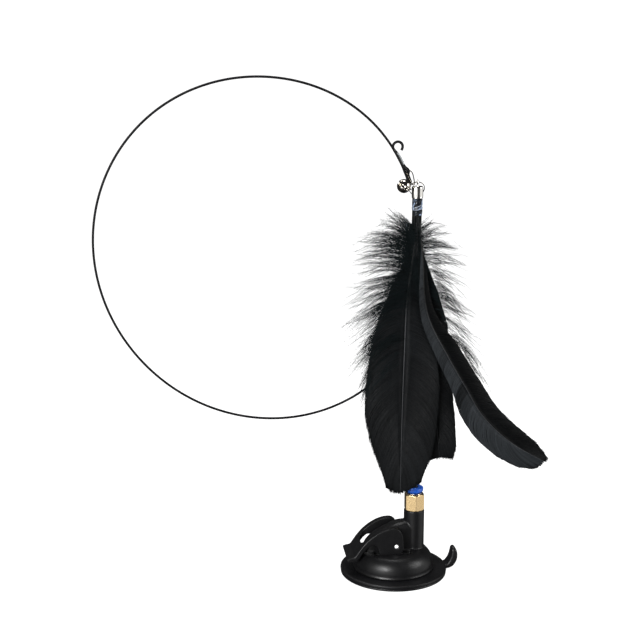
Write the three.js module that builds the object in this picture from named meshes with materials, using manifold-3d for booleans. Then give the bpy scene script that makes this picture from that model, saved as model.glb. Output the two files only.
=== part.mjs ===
// Suction-cup cat toy: a lever-locked cup, a push-in tube fitting, a looped spring wire and a feather lure.
// Lengths are millimetres. +Z is up, the cup stands on z = 0 round the Z axis, and +X points at the post.
import * as THREE from "three";
import { mergeVertices } from "three/examples/jsm/utils/BufferGeometryUtils.js";
import Module from "manifold-3d";

const wasm = await Module();
wasm.setup();

// Gaps and cuts
const seam = 0.3; // between moulded or turned neighbours
const slip = 0.15; // round a pin, tube or wire that turns or slides
const restSeam = 0.1; // under a piece that rests on another
const overrun = 2; // how far a cut runs past what it cuts
const weldTolerance = 0.001; // points closer than this are one

// Suction cup
const cupRadius = 32.5;
const cupHeight = 3.6;
const cupLift = 2; // how far the locked lever lifts the middle of the cup
const cupSkin = 0.8; // rubber over and under the core plate
const cupFlatRadius = 14;
const cupContactWidth = 3.5;
const cupContactInset = 0.9;
const cupLipInset = 0.2;
const cupLipHeight = 1.4;
const cupGrooveDepth = 0.7;
const cupGrooveHeight = 0.5;
const cupEdgeRound = 0.4;
const cupWellRadius = 20.5;
const cupWellDepth = 0.4;
const cupBossWall = 1.35;
const cupSides = 48;

// Pull tab on the cup's edge
const tabTurn = (2 * Math.PI) / 180;
const tabRun = 3; // straight, out of the edge
const tabRoot = 2; // how far it starts inside the edge
const tabCurl = 6.6;
const tabCurlTurn = (128 * Math.PI) / 180;
const tabWidth = 8.5;
const tabThickness = 2.2;
const tabLine = 2.1; // height of its middle at the edge

// Core plate and stem, moulded into the cup
const corePlateRadius = 11.7;
const corePlateThickness = 1.5;
const stemRadius = 3.6;
const stemAbovePin = 3.7;
const pinHeight = 20.3;
const pinRadius = 1.3;

// Housing
const domeRadius = 24.2;
const domeTop = 15.8;
const domeFlare = 0.5;
const domeFlareHeight = 0.8;
const domeWall = 2;
const ceilingThickness = 1.3;
const shoulderHeight = 13.6; // the flats that the lever's cams bear on
const shoulderStart = -13;
const shoulderEnd = 9.2;
const turretHalfWidth = 6.9;
const turretStart = -18.4;
const turretRise = 33; // the ridge's greatest height
const turretRound = 4.4;
const postX = 12.5;
const postRadius = 6.25;
const postTop = 39.8;
const postEdge = 0.5;
const postSink = 2.6; // how far the post reaches down into the dome
const housingSides = 48;

// Lever
const leverHalfWidth = 12;
const leverReach = 29.8; // from the pin to the thumb tab's end
const leverSlotHalfWidth = 7.35;
const leverSlotEnd = 20.6;
const leverSlotCorner = 4.5;
const leverEdge = 0.6;
const camGap = 0.3; // between a cam and its shoulder

// Return spring
const coilWireRadius = 0.45;
const coilRadius = 6.2;
const coilTurns = 3;

// Fitting
const hexAcrossFlats = 11.2;
const hexHeight = 10.1;
const hexTopChamfer = 1.1;
const hexBottomChamfer = 0.6;
const shankRadius = 4;
const shankLength = 8.4;
const fittingWay = 1.2; // radius of the way through its lower end
const socketDepth = 14;
const sealSeat = 7; // from the hex's top down to the seal
const chamberRadius = 3.7;
const sealRadius = 0.6;
const seatFlangeRadius = 4.7;
const seatFlangeThickness = 0.4;
const seatWall = 0.4;
const seatDepth = 3.4;
const colletHeight = 2;
const colletWall = 0.5;
const colletSlot = 0.7;
const collarRadius = 5.1;
const collarHeight = 4;
const collarTravel = 0.8;
const collarNeckWall = 0.55;
const collarNeckDepth = 4;
const collarRound = 0.7;

// Tube and spring wire
const tubeRadius = 2;
const tubeTop = 66;
const wireRadius = 0.5;
const wireInsert = 16;
const wireRise = 39.8; // straight, above the tube
const wireBendRadius = 16.79;
const wireBendTurn = (128.3 * Math.PI) / 180;
const wireLoopLength = 462;
// The loop's bend radius at even steps along it, as the wire lies at rest
const wireLoopRadii = [85.7, 100.5, 109.9, 98.6, 91, 99.3, 79];
const wireForward = 9.6; // how far the tip leans out in front of the post
const wireForwardShares = [0.55, 1]; // where along the loop the lean starts and ends
const tipLength = 22.3;
const tipTurn = (-13 * Math.PI) / 180;
const strandGap = 0.12; // between the wire and its folded-back tail
const foldRoll = (45 * Math.PI) / 180; // how far the tail lies round to the front of the wire
const eyeStartShare = 0.585; // where the eye starts along the tip
const eyeLength = 5.6;
const eyeOpening = 1.9;
const curlRadius = 2.7; // the curl at the wire's end
const curlTurn = (236 * Math.PI) / 180;
const curlEnd = 1.2; // the straight end past it
const curlAt = 1.4; // where it leaves the strand, along the tip
const curlForward = 1; // how far it comes forward, to pass in front of the sleeve
const sleeveWall = 0.15;
const sleeveHead = 0.5; // from where the curl leaves to the upper sleeve
const sleeveOverEnd = 0.7;
const sleeveEyeMargin = 1.1;

// Snap clasp, split ring and bell
const claspWireRadius = 0.36;
const claspRight = 3.1; // from the eye to where it holds the ring
const claspForward = 3.4;
const claspDrop = 6.8;
const claspTwist = (50 * Math.PI) / 180; // how far it is turned from the wire's plane
const gateRadius = 0.35;
const gateGap = 0.2;
const splitRingRadius = 4.4;
const splitRingWireRadius = 0.4;
const splitRingTilt = (28 * Math.PI) / 180;
const claspAside = 2.6; // from the ring's top to where the clasp holds it
const loopRadius = 1.15;
const loopWireRadius = 0.3;
const neckRadius = 0.5;
const bellTurn = (90 * Math.PI) / 180; // round the ring, from its top
const bellRadius = 4;
const bellWall = 0.45;
const bellNeck = 0.1;
const bellSlotHalfWidth = 0.6;
const bellHoleRadius = 1.05;
const bellSlotReach = 3.3;
const bellBallRadius = 1.1;
const bellDirection = new THREE.Vector3(-0.7, -0.63, 0.34).normalize();

// Feather cap, binding and feathers
const capRadius = 3;
const capHeight = 6.95;
const capDrop = 2.3; // from the ring's top to the cap's
const capWall = 0.6;
const capCrown = 1.5;
const quillHold = 4.9; // how far the quills reach into the cap
const quillRadius = 0.6;
const bundleRadius = 1.45;
const bindingLength = 9.2;
const bindingWall = 0.45;
const threadRadius = 0.3;
const threadTurns = 4;
const frontLength = 178.5;
const frontWidth = 22;
const backLength = 160;
const backWidth = 16;
const sideLength = 165;
const sideWidth = 12;
const downLength = 124;
const downWidth = 44;
const backDownLength = 110;
const backDownWidth = 34;
const vaneThickness = 0.3;
const shaftHalfWidth = 0.55;
const shaftHalfThickness = 0.4;
const barrelShare = 0.6; // the bare quill's sides, as a share of its half thickness

const group = new THREE.Group();
group.name = "suction_cup_cat_toy";

const finishes = {
  rubber: new THREE.MeshStandardMaterial({ name: "rubber", color: 0x18181a, roughness: 0.6 }),
  moulded: new THREE.MeshStandardMaterial({ name: "moulded", color: 0x1a1a1c, roughness: 0.5 }),
  steel: new THREE.MeshStandardMaterial({ name: "steel", color: 0xc9c9cc, metalness: 1, roughness: 0.3 }),
  brass: new THREE.MeshStandardMaterial({ name: "brass", color: 0xd9b36a, metalness: 1, roughness: 0.3 }),
  nickel: new THREE.MeshStandardMaterial({ name: "nickel", color: 0xd6d3cc, metalness: 1, roughness: 0.2 }),
  blue: new THREE.MeshStandardMaterial({ name: "blue", color: 0x1457c8, roughness: 0.4 }),
  nylon: new THREE.MeshStandardMaterial({ name: "nylon", color: 0x141416, roughness: 0.5 }),
  blacked: new THREE.MeshStandardMaterial({ name: "blacked", color: 0x101011, metalness: 0.6, roughness: 0.45 }),
  film: new THREE.MeshStandardMaterial({ name: "film", color: 0xb8c2cc, roughness: 0.2 }),
  thread: new THREE.MeshStandardMaterial({ name: "thread", color: 0xd8dde6, roughness: 0.8 }),
  feather: new THREE.MeshStandardMaterial({ name: "feather", color: 0x101416, roughness: 0.85 }),
};

// Geometry helpers

function signedVolume(position, index) {
  const a = new THREE.Vector3();
  const b = new THREE.Vector3();
  const c = new THREE.Vector3();
  let sum = 0;
  for (let i = 0; i < index.length; i += 3) {
    a.fromBufferAttribute(position, index[i]);
    b.fromBufferAttribute(position, index[i + 1]);
    c.fromBufferAttribute(position, index[i + 2]);
    sum += a.dot(b.cross(c)) / 6;
  }
  return sum;
}

function solid(geometry) {
  const bare = geometry.clone();
  bare.deleteAttribute("normal");
  bare.deleteAttribute("uv");
  const merged = mergeVertices(bare, weldTolerance);
  const position = merged.getAttribute("position");
  const index = Array.from(merged.index.array);
  const kept = [];
  for (let i = 0; i < index.length; i += 3) {
    const [a, b, c] = index.slice(i, i + 3);
    if (a !== b && b !== c && c !== a) {
      kept.push(a, b, c);
    }
  }
  if (signedVolume(position, kept) < 0) {
    kept.reverse();
  }
  return new wasm.Manifold(
    new wasm.Mesh({
      numProp: 3,
      vertProperties: new Float32Array(position.array),
      triVerts: new Uint32Array(kept),
    }),
  );
}

function add(name, shape, material) {
  const mesh3 = shape.getMesh();
  const geometry = new THREE.BufferGeometry();
  geometry.setAttribute("position", new THREE.BufferAttribute(new Float32Array(mesh3.vertProperties), 3));
  geometry.setIndex(new THREE.BufferAttribute(new Uint32Array(mesh3.triVerts), 1));
  geometry.computeVertexNormals();
  const mesh = new THREE.Mesh(geometry, material.clone());
  mesh.name = name;
  group.add(mesh);
}

// A body turned round the Z axis, from [radius, height] pairs
function turned(profile, sides) {
  const points = profile.map(([r, z]) => new THREE.Vector2(r, z));
  const geometry = new THREE.LatheGeometry(points, sides);
  geometry.rotateX(Math.PI / 2);
  return solid(geometry);
}

function column(radius, low, high, sides, x = 0, y = 0) {
  return turned([[0, low], [radius, low], [radius, high], [0, high]], sides).translate([x, y, 0]);
}

// A round bar along Y
function crossbar(radius, near, far, sides, x, z) {
  const geometry = new THREE.CylinderGeometry(radius, radius, far - near, sides);
  geometry.translate(x, (near + far) / 2, z);
  return solid(geometry);
}

function block(low, high) {
  const size = high.map((value, i) => value - low[i]);
  const geometry = new THREE.BoxGeometry(...size);
  geometry.translate(...high.map((value, i) => (value + low[i]) / 2));
  return solid(geometry);
}

// An [x, z] outline carried along Y, with rounded edges if wanted
function slab(outline, near, far, round = 0) {
  const shape = new THREE.Shape(outline.map(([x, z]) => new THREE.Vector2(x, z)));
  const geometry = new THREE.ExtrudeGeometry(shape, {
    depth: far - near - 2 * round,
    bevelEnabled: round > 0,
    bevelThickness: round,
    bevelSize: round,
    bevelOffset: -round,
    bevelSegments: 2,
  });
  geometry.rotateX(Math.PI / 2);
  geometry.translate(0, far - round, 0);
  return solid(geometry);
}

// An [x, y] outline carried along Z
function plate(shape, low, high, curveSegments) {
  const geometry = new THREE.ExtrudeGeometry(shape, { depth: high - low, bevelEnabled: false, curveSegments });
  geometry.translate(0, 0, low);
  return solid(geometry);
}

// One closed body through rings of points, all with the same count
function loft(rings) {
  const count = rings[0].length;
  const positions = [];
  rings.forEach((ring) => ring.forEach((p) => positions.push(p.x, p.y, p.z)));
  const index = [];
  for (let i = 0; i < rings.length - 1; i++) {
    for (let j = 0; j < count; j++) {
      const a = i * count + j;
      const b = i * count + ((j + 1) % count);
      index.push(a, b, b + count, a, b + count, a + count);
    }
  }
  const last = (rings.length - 1) * count;
  for (let j = 1; j < count - 1; j++) {
    index.push(0, j + 1, j, last, last + j, last + j + 1);
  }
  const geometry = new THREE.BufferGeometry();
  geometry.setAttribute("position", new THREE.Float32BufferAttribute(positions, 3));
  geometry.setIndex(index);
  return solid(geometry);
}

// A ring of points round a path, whose frame is carried along without twist
function tube(path, radius, sides) {
  const rings = [];
  const steepest = 0.9; // a side nearer to the path's own direction than this is given up
  let side = new THREE.Vector3(0, 1, 0);
  path.forEach((point, i) => {
    const before = path[Math.max(i - 1, 0)];
    const after = path[Math.min(i + 1, path.length - 1)];
    const along = after.clone().sub(before).normalize();
    if (Math.abs(side.dot(along)) > steepest) {
      side = new THREE.Vector3(1, 0, 0);
    }
    side = side.sub(along.clone().multiplyScalar(side.dot(along))).normalize();
    const up = along.clone().cross(side);
    const ring = [];
    for (let j = 0; j < sides; j++) {
      const turn = (2 * Math.PI * j) / sides;
      const outward = side.clone().multiplyScalar(Math.cos(turn)).add(up.clone().multiplyScalar(Math.sin(turn)));
      ring.push(point.clone().add(outward.multiplyScalar(radius)));
    }
    rings.push(ring);
  });
  return loft(rings);
}

// A round wire bent into a closed ring
function hoop(centre, right, up, radius, wire, steps, sides) {
  const geometry = new THREE.TorusGeometry(radius, wire, sides, steps);
  const out = right.clone().cross(up);
  geometry.applyMatrix4(new THREE.Matrix4().makeBasis(right, up, out).setPosition(centre));
  return solid(geometry);
}

function smooth(value) {
  const t = Math.min(Math.max(value, 0), 1);
  return t * t * (3 - 2 * t);
}

function between(table, at, field) {
  for (let i = 1; i < table.length; i++) {
    if (at <= table[i][0]) {
      const share = (at - table[i - 1][0]) / (table[i][0] - table[i - 1][0]);
      return table[i - 1][field] + (table[i][field] - table[i - 1][field]) * share;
    }
  }
  return table[table.length - 1][field];
}

// Suction cup: a rimmed disc with a lifted middle, a boss round the core plate and a curled pull tab

const pocketFloor = cupLift + cupSkin;
const corePlateLow = pocketFloor + slip;
const corePlateHigh = corePlateLow + corePlateThickness;
const pocketTop = corePlateHigh + slip;
const bossTop = pocketTop + cupSkin;
const pocketRadius = corePlateRadius + slip;
const bossRadius = pocketRadius + cupBossWall;
const contactOuter = cupRadius - cupContactInset;
const lipRadius = cupRadius - cupLipInset;
const grooveMiddle = cupLipHeight + cupGrooveHeight / 2;
const rimLow = cupLipHeight + cupGrooveHeight;
const wellTop = cupHeight - cupWellDepth;

const cupBody = turned(
  [
    [0, cupLift],
    [cupFlatRadius, cupLift],
    [contactOuter - cupContactWidth, 0],
    [contactOuter, 0],
    [lipRadius, cupEdgeRound],
    [lipRadius, cupLipHeight],
    [lipRadius - cupGrooveDepth, grooveMiddle],
    [cupRadius, rimLow],
    [cupRadius, cupHeight - cupEdgeRound],
    [cupRadius - cupEdgeRound, cupHeight],
    [cupWellRadius, cupHeight],
    [cupWellRadius - cupWellDepth, wellTop],
    [bossRadius, wellTop],
    [bossRadius, bossTop],
    [stemRadius + seam, bossTop],
    [stemRadius + seam, pocketTop],
    [pocketRadius, pocketTop],
    [pocketRadius, pocketFloor],
    [0, pocketFloor],
  ],
  cupSides,
);

function pullTab() {
  const start = cupRadius - tabRoot;
  const turnAt = cupRadius + tabRun - tabRoot / 2;
  const stations = [
    [start, tabLine, 0],
    [turnAt - tabRun / 2, tabLine, 0],
  ];
  const steps = 10;
  for (let i = 0; i <= steps; i++) {
    const turn = (tabCurlTurn * i) / steps;
    stations.push([turnAt + tabCurl * Math.sin(turn), tabLine + tabCurl * (1 - Math.cos(turn)), turn]);
  }
  const widthShares = [[0, 1.05], [0.35, 0.96], [0.6, 0.98], [0.8, 0.8], [0.92, 0.55], [1, 0.2]];
  const thicknessShares = [[0, 1], [0.3, 0.95], [0.7, 0.9], [1, 0.45]];
  const sectionShares = [[-1, -0.3], [-0.8, -1], [0.8, -1], [1, -0.3], [1, 0.3], [0.8, 1], [-0.8, 1], [-1, 0.3]];
  const radial = new THREE.Vector3(Math.cos(tabTurn), Math.sin(tabTurn), 0);
  const across = new THREE.Vector3(-Math.sin(tabTurn), Math.cos(tabTurn), 0);
  const rings = stations.map(([r, z, turn], i) => {
    const share = i / (stations.length - 1);
    const half = (tabWidth * between(widthShares, share, 1)) / 2;
    const thick = (tabThickness * between(thicknessShares, share, 1)) / 2;
    const middle = radial.clone().multiplyScalar(r);
    middle.z = z;
    const normal = radial.clone().multiplyScalar(-Math.sin(turn));
    normal.z = Math.cos(turn);
    const corner = ([w, t]) =>
      middle.clone().add(across.clone().multiplyScalar(w * half)).add(normal.clone().multiplyScalar(t * thick));
    return sectionShares.map(corner);
  });
  return loft(rings);
}

add("suction_cup", cupBody.add(pullTab()), finishes.rubber);

// Core: the plate that the cup is moulded round, with its stem

const stemTop = pinHeight + stemAbovePin;
const stemCore = turned(
  [
    [0, corePlateLow],
    [corePlateRadius, corePlateLow],
    [corePlateRadius, corePlateHigh],
    [stemRadius, corePlateHigh],
    [stemRadius, stemTop],
    [0, stemTop],
  ],
  32,
).subtract(crossbar(pinRadius + slip, -stemRadius - overrun, stemRadius + overrun, 20, 0, pinHeight));
add("cup_core", stemCore, finishes.moulded);

// Housing: dome, turret, web and post in one moulding

const footLow = cupHeight + restSeam;
const domeHeight = domeTop - footLow;
const domeShares = [
  [1, 0.3],
  [0.985, 0.47],
  [0.95, 0.64],
  [0.893, 0.8],
  [0.83, 0.91],
  [0.73, 0.972],
  [0.6, 1],
];
const domeOuter = turned(
  [
    [0, footLow],
    [domeRadius + domeFlare, footLow],
    [domeRadius + domeFlare, footLow + domeFlareHeight],
    [domeRadius, footLow + domeFlareHeight + domeFlare],
    ...domeShares.map(([r, h]) => [r * domeRadius, footLow + h * domeHeight]),
    [0, domeTop],
  ],
  housingSides,
);

const ceiling = shoulderHeight - ceilingThickness;
const cavityRadius = domeRadius - domeWall;
const cavityHeight = ceiling - footLow;
const cavityShares = [
  [1, 0.5],
  [0.945, 0.78],
  [0.87, 0.95],
  [0.79, 1],
];
const cavity = turned(
  [
    [0, footLow - overrun],
    [cavityRadius, footLow - overrun],
    ...cavityShares.map(([r, h]) => [r * cavityRadius, footLow + h * cavityHeight]),
    [0, ceiling],
  ],
  housingSides,
);

// The turret's ridge climbs to the post: place along it, top and half width, as shares
const turretShares = [
  [0, 0.55, 0.74],
  [0.03, 0.6, 0.88],
  [0.08, 0.655, 0.96],
  [0.16, 0.726, 1],
  [0.285, 0.806, 1],
  [0.39, 0.86, 1],
  [0.5, 0.912, 1],
  [0.61, 0.965, 0.985],
  [0.7, 0.987, 0.95],
  [0.8, 1, 0.88],
  [1, 1, 0.8],
];

function turret() {
  const low = shoulderHeight - ceilingThickness / 2;
  const cornerShares = [[1, 1], [0.94, 0.66], [0.76, 0.35], [0.48, 0.12], [0.15, 0.01]];
  const rings = turretShares.map(([along, top, width]) => {
    const x = turretStart + along * (postX - turretStart);
    const z = top * turretRise;
    const half = width * turretHalfWidth;
    const farSide = cornerShares.map(([w, h]) => [half - turretRound * (1 - w), z - turretRound * h]);
    const nearSide = farSide.map(([y, height]) => [-y, height]).reverse();
    const ring = [[-half, low], [half, low], ...farSide, ...nearSide];
    return ring.map(([y, height]) => new THREE.Vector3(x, y, height));
  });
  return loft(rings);
}

const post = turned(
  [
    [0, domeTop - postSink],
    [postRadius, domeTop - postSink],
    [postRadius, postTop - postEdge],
    [postRadius - postEdge, postTop],
    [0, postTop],
  ],
  40,
).translate([postX, 0, 0]);

function shoulderCut(sign) {
  const inner = sign * turretHalfWidth;
  const outer = sign * (leverHalfWidth + seam);
  const lowY = Math.min(inner, outer);
  const highY = Math.max(inner, outer);
  return block([shoulderStart, lowY, shoulderHeight], [shoulderEnd, highY, domeTop + overrun]);
}

const stemBoreTop = stemTop + 2 * seam;
const stemBore = column(stemRadius + seam, footLow, stemBoreTop, 32);

function pinSlot() {
  const radius = pinRadius + slip;
  const top = crossbar(radius, -turretHalfWidth - overrun, turretHalfWidth + overrun, 20, 0, pinHeight);
  const low = top.translate([0, 0, -cupLift - restSeam]);
  const middle = block(
    [-radius, -turretHalfWidth - overrun, pinHeight - cupLift - restSeam],
    [radius, turretHalfWidth + overrun, pinHeight],
  );
  return top.add(low).add(middle);
}

const hexLow = postTop + restSeam;
const hexTop = hexLow + hexHeight;
const shankLow = hexLow - shankLength;
const postBore = column(shankRadius + slip, shankLow - seam, postTop + overrun, 32, postX);

const housing = domeOuter
  .add(turret())
  .add(post)
  .subtract(shoulderCut(1))
  .subtract(shoulderCut(-1))
  .subtract(cavity)
  .subtract(stemBore)
  .subtract(pinSlot())
  .subtract(postBore);
add("housing", housing, finishes.moulded);

// Return spring: an open coil round the stem that pushes the core down when the lever is up

function returnSpring() {
  const low = bossTop + restSeam + coilWireRadius;
  const high = ceiling - restSeam - coilWireRadius;
  const perTurn = 10;
  const steps = coilTurns * perTurn;
  const path = [];
  for (let i = 0; i <= steps; i++) {
    const turn = (2 * Math.PI * i) / perTurn;
    const z = low + ((high - low) * i) / steps;
    path.push(new THREE.Vector3(coilRadius * Math.cos(turn), coilRadius * Math.sin(turn), z));
  }
  const selfGap = (high - low) / coilTurns - 2 * coilWireRadius;
  console.log(`return spring: least gap between its turns ${selfGap.toFixed(2)} mm`);
  return tube(path, coilWireRadius, 6);
}

add("return_spring", returnSpring(), finishes.steel);

// Lever: a yoke with a thumb tab, two curved arms and a cam on each cheek. Its outline is read from the pin.

const camLowest = pinHeight - shoulderHeight - camGap;

// The cam's radius falls evenly through a quarter turn, by what the stud drops
function camPoints() {
  const points = [];
  const steps = 6;
  for (let i = 0; i <= steps; i++) {
    const turn = (Math.PI / 2) * (1 - i / steps);
    const radius = camLowest - (cupLift * turn) / (Math.PI / 2) - camGap / 2;
    points.push([radius * Math.sin(turn), -radius * Math.cos(turn)]);
  }
  return points;
}

const leverTopShares = [
  [-1.012, -0.243],
  [-0.93, -0.218],
  [-0.862, -0.203],
  [-0.805, -0.131],
  [-0.748, -0.047],
  [-0.658, 0.067],
  [-0.52, 0.198],
  [-0.419, 0.268],
  [-0.319, 0.322],
  [-0.218, 0.359],
  [-0.117, 0.379],
  [-0.017, 0.376],
  [0.054, 0.339],
  [0.098, 0.279],
  [0.126, 0.201],
  [0.134, 0.114],
];
const leverLowShares = [
  [-0.117, -0.208],
  [-0.255, -0.206],
  [-0.322, -0.181],
  [-0.349, -0.111],
  [-0.376, -0.023],
  [-0.423, 0.037],
  [-0.507, 0.044],
  [-0.587, -0.01],
  [-0.668, -0.091],
  [-0.748, -0.208],
  [-0.812, -0.282],
  [-0.872, -0.305],
  [-0.992, -0.306],
];

function lever() {
  const place = ([x, z]) => [x * leverReach, z * leverReach + pinHeight];
  const cam = camPoints().map(([x, z]) => [x, z + pinHeight]);
  const outline = [...leverTopShares.map(place), ...cam, ...leverLowShares.map(place)];
  const yoke = slab(outline, -leverHalfWidth, leverHalfWidth, leverEdge);
  const shape = new THREE.Shape();
  const end = -leverSlotEnd;
  const half = leverSlotHalfWidth;
  const round = leverSlotCorner;
  const mouth = leverReach;
  shape.moveTo(mouth, -half);
  shape.lineTo(mouth, half);
  shape.lineTo(end + round, half);
  shape.absarc(end + round, half - round, round, Math.PI / 2, Math.PI, false);
  shape.absarc(end + round, round - half, round, Math.PI, (3 * Math.PI) / 2, false);
  shape.lineTo(mouth, -half);
  const slot = plate(shape, pinHeight - leverReach, pinHeight + leverReach, 5);
  const bore = crossbar(pinRadius + slip, -leverHalfWidth - overrun, leverHalfWidth + overrun, 20, 0, pinHeight);
  return yoke.subtract(slot).subtract(bore);
}

add("lever", lever(), finishes.moulded);
add(
  "lever_pin",
  crossbar(pinRadius, restSeam - leverHalfWidth, leverHalfWidth - restSeam, 20, 0, pinHeight),
  finishes.steel,
);

// Push-in fitting: brass hex with its shank in the post, and what grips and seals the tube

function fittingBody() {
  const cornerRadius = hexAcrossFlats / 2 / Math.cos(Math.PI / 6);
  const hex = new THREE.CylinderGeometry(cornerRadius, cornerRadius, hexHeight, 6);
  hex.rotateX(Math.PI / 2);
  hex.translate(0, 0, (hexLow + hexTop) / 2);
  const chamfer = turned(
    [
      [0, hexLow],
      [cornerRadius - hexBottomChamfer, hexLow],
      [cornerRadius, hexLow + hexBottomChamfer],
      [cornerRadius, hexTop - hexTopChamfer],
      [cornerRadius - hexTopChamfer, hexTop],
      [0, hexTop],
    ],
    48,
  );
  const shank = column(shankRadius, shankLow, hexLow + overrun, 32);
  const socket = column(tubeRadius + slip, hexTop - socketDepth, hexTop, 32);
  const chamber = column(chamberRadius, hexTop - sealSeat, hexTop + overrun, 32);
  const way = column(fittingWay, shankLow - overrun, hexTop, 20);
  return solid(hex)
    .intersect(chamfer)
    .add(shank)
    .subtract(socket)
    .subtract(chamber)
    .subtract(way)
    .translate([postX, 0, 0]);
}

add("fitting_body", fittingBody(), finishes.brass);

const sealLow = hexTop - sealSeat;
const sealMiddle = sealLow + sealRadius + restSeam;
const right = new THREE.Vector3(1, 0, 0);
const back = new THREE.Vector3(0, 1, 0);
const up = new THREE.Vector3(0, 0, 1);
add(
  "tube_seal",
  hoop(new THREE.Vector3(postX, 0, sealMiddle), right, back, tubeRadius + sealRadius + slip, sealRadius, 24, 8),
  finishes.rubber,
);

const seatOuter = chamberRadius - slip;
const seatInner = seatOuter - seatWall;
const seatTop = hexTop + restSeam + seatFlangeThickness;
add(
  "fitting_seat_ring",
  turned(
    [
      [seatInner, hexTop - seatDepth],
      [seatOuter, hexTop - seatDepth],
      [seatOuter, hexTop + restSeam],
      [seatFlangeRadius, hexTop + restSeam],
      [seatFlangeRadius, seatTop],
      [seatInner, seatTop],
      [seatInner, hexTop - seatDepth],
    ],
    32,
  ).translate([postX, 0, 0]),
  finishes.nickel,
);

const colletLow = sealLow + 2 * sealRadius + restSeam + slip;
function collet() {
  const inner = tubeRadius + slip;
  const outer = inner + colletWall;
  const ring = turned(
    [
      [inner, colletLow],
      [outer, colletLow],
      [outer, colletLow + colletHeight],
      [inner, colletLow + colletHeight],
      [inner, colletLow],
    ],
    32,
  );
  const reach = outer + overrun;
  const slotTop = colletLow + (2 * colletHeight) / 3;
  const slotLow = colletLow - overrun;
  const long = block([-reach, -colletSlot / 2, slotLow], [reach, colletSlot / 2, slotTop]);
  const wide = block([-colletSlot / 2, -reach, slotLow], [colletSlot / 2, reach, slotTop]);
  return ring.subtract(long).subtract(wide).translate([postX, 0, 0]);
}

add("tube_collet", collet(), finishes.steel);

const collarLow = seatTop + collarTravel;
const collarTop = collarLow + collarHeight;
const collarBore = tubeRadius + slip;
const neckOuter = collarBore + collarNeckWall;
add(
  "release_collar",
  turned(
    [
      [collarBore, collarLow - collarNeckDepth],
      [neckOuter, collarLow - collarNeckDepth],
      [neckOuter, collarLow],
      [collarRadius - collarRound / 2, collarLow],
      [collarRadius, collarLow + collarRound],
      [collarRadius, collarTop - collarRound],
      [collarRadius - collarRound, collarTop],
      [collarBore, collarTop],
      [collarBore, collarLow - collarNeckDepth],
    ],
    40,
  ).translate([postX, 0, 0]),
  finishes.blue,
);

// End tube: the nylon sleeve on the wire that pushes into the fitting

const tubeLow = hexTop - socketDepth + restSeam;
add(
  "wire_end_tube",
  column(tubeRadius, tubeLow, tubeTop, 28)
    .subtract(column(wireRadius + slip, tubeTop - wireInsert - seam, tubeTop + overrun, 16))
    .translate([postX, 0, 0]),
  finishes.nylon,
);

// Spring wire: up from the tube, over into the big loop, and folded back on itself at the tip

// Points on a flat run of wire that starts at `from` with `heading`, bent evenly through `turn`
function run(from, heading, length, turn, steps) {
  const points = [];
  let x = from[0];
  let z = from[1];
  for (let i = 0; i < steps; i++) {
    const angle = heading + (turn * (i + 0.5)) / steps;
    x += (length / steps) * Math.cos(angle);
    z += (length / steps) * Math.sin(angle);
    points.push([x, z, heading + (turn * (i + 1)) / steps]);
  }
  return points;
}

const flat = [[postX, tubeTop - wireInsert, Math.PI / 2]];
flat.push([postX, tubeTop, Math.PI / 2]);
flat.push([postX, tubeTop + wireRise, Math.PI / 2]);
const bendLength = wireBendRadius * wireBendTurn;
flat.push(...run([postX, tubeTop + wireRise], Math.PI / 2, bendLength, wireBendTurn, 12));

const loopSteps = 78;
const loopStep = wireLoopLength / loopSteps;
const loopStart = flat.length - 1;
for (let i = 0; i < loopSteps; i++) {
  const share = ((i + 0.5) / loopSteps) * (wireLoopRadii.length - 1);
  const low = Math.min(Math.floor(share), wireLoopRadii.length - 2);
  const bend0 = 1 / wireLoopRadii[low];
  const bend1 = 1 / wireLoopRadii[low + 1];
  const bend = bend0 + (bend1 - bend0) * (share - low);
  const [x, z, heading] = flat[flat.length - 1];
  flat.push(...run([x, z], heading, loopStep, -loopStep * bend, 1));
}
const [tipX, tipZ, tipHeading] = flat[flat.length - 1];

const wirePath = flat.map(([x, z], i) => {
  const along = (i - loopStart) / loopSteps;
  const [leanStart, leanEnd] = wireForwardShares;
  return new THREE.Vector3(x, -wireForward * smooth((along - leanStart) / (leanEnd - leanStart)), z);
});

const tipSteps = 36;
const tipRun = [[tipX, tipZ, tipHeading], ...run([tipX, tipZ], tipHeading, tipLength, tipTurn, tipSteps)];
const strandSpacing = 2 * wireRadius + strandGap;
const eyeStart = eyeStartShare * tipLength;
const eyeMiddle = eyeStart + eyeLength / 2;
const eyeBulge = eyeOpening + 2 * wireRadius - strandSpacing;

// A place on the tip: how far along it, how far to the tail's side, and how far in front
function onTip(along, side, front = 0) {
  const at = (Math.min(Math.max(along, 0), tipLength) / tipLength) * tipSteps;
  const low = Math.min(Math.floor(at), tipSteps - 1);
  const share = at - low;
  const [x0, z0, h0] = tipRun[low];
  const [x1, z1, h1] = tipRun[low + 1];
  const heading = h0 + (h1 - h0) * share;
  const past = along - Math.min(Math.max(along, 0), tipLength);
  const x = x0 + (x1 - x0) * share + past * Math.cos(heading) - side * Math.sin(heading);
  const z = z0 + (z1 - z0) * share + past * Math.sin(heading) + side * Math.cos(heading);
  return new THREE.Vector3(x, -wireForward - front, z);
}

function tailSide(along) {
  const bulge = Math.sin(Math.PI * Math.min(Math.max((along - eyeStart) / eyeLength, 0), 1)) ** 2;
  return strandSpacing + eyeBulge * bulge;
}

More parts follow.
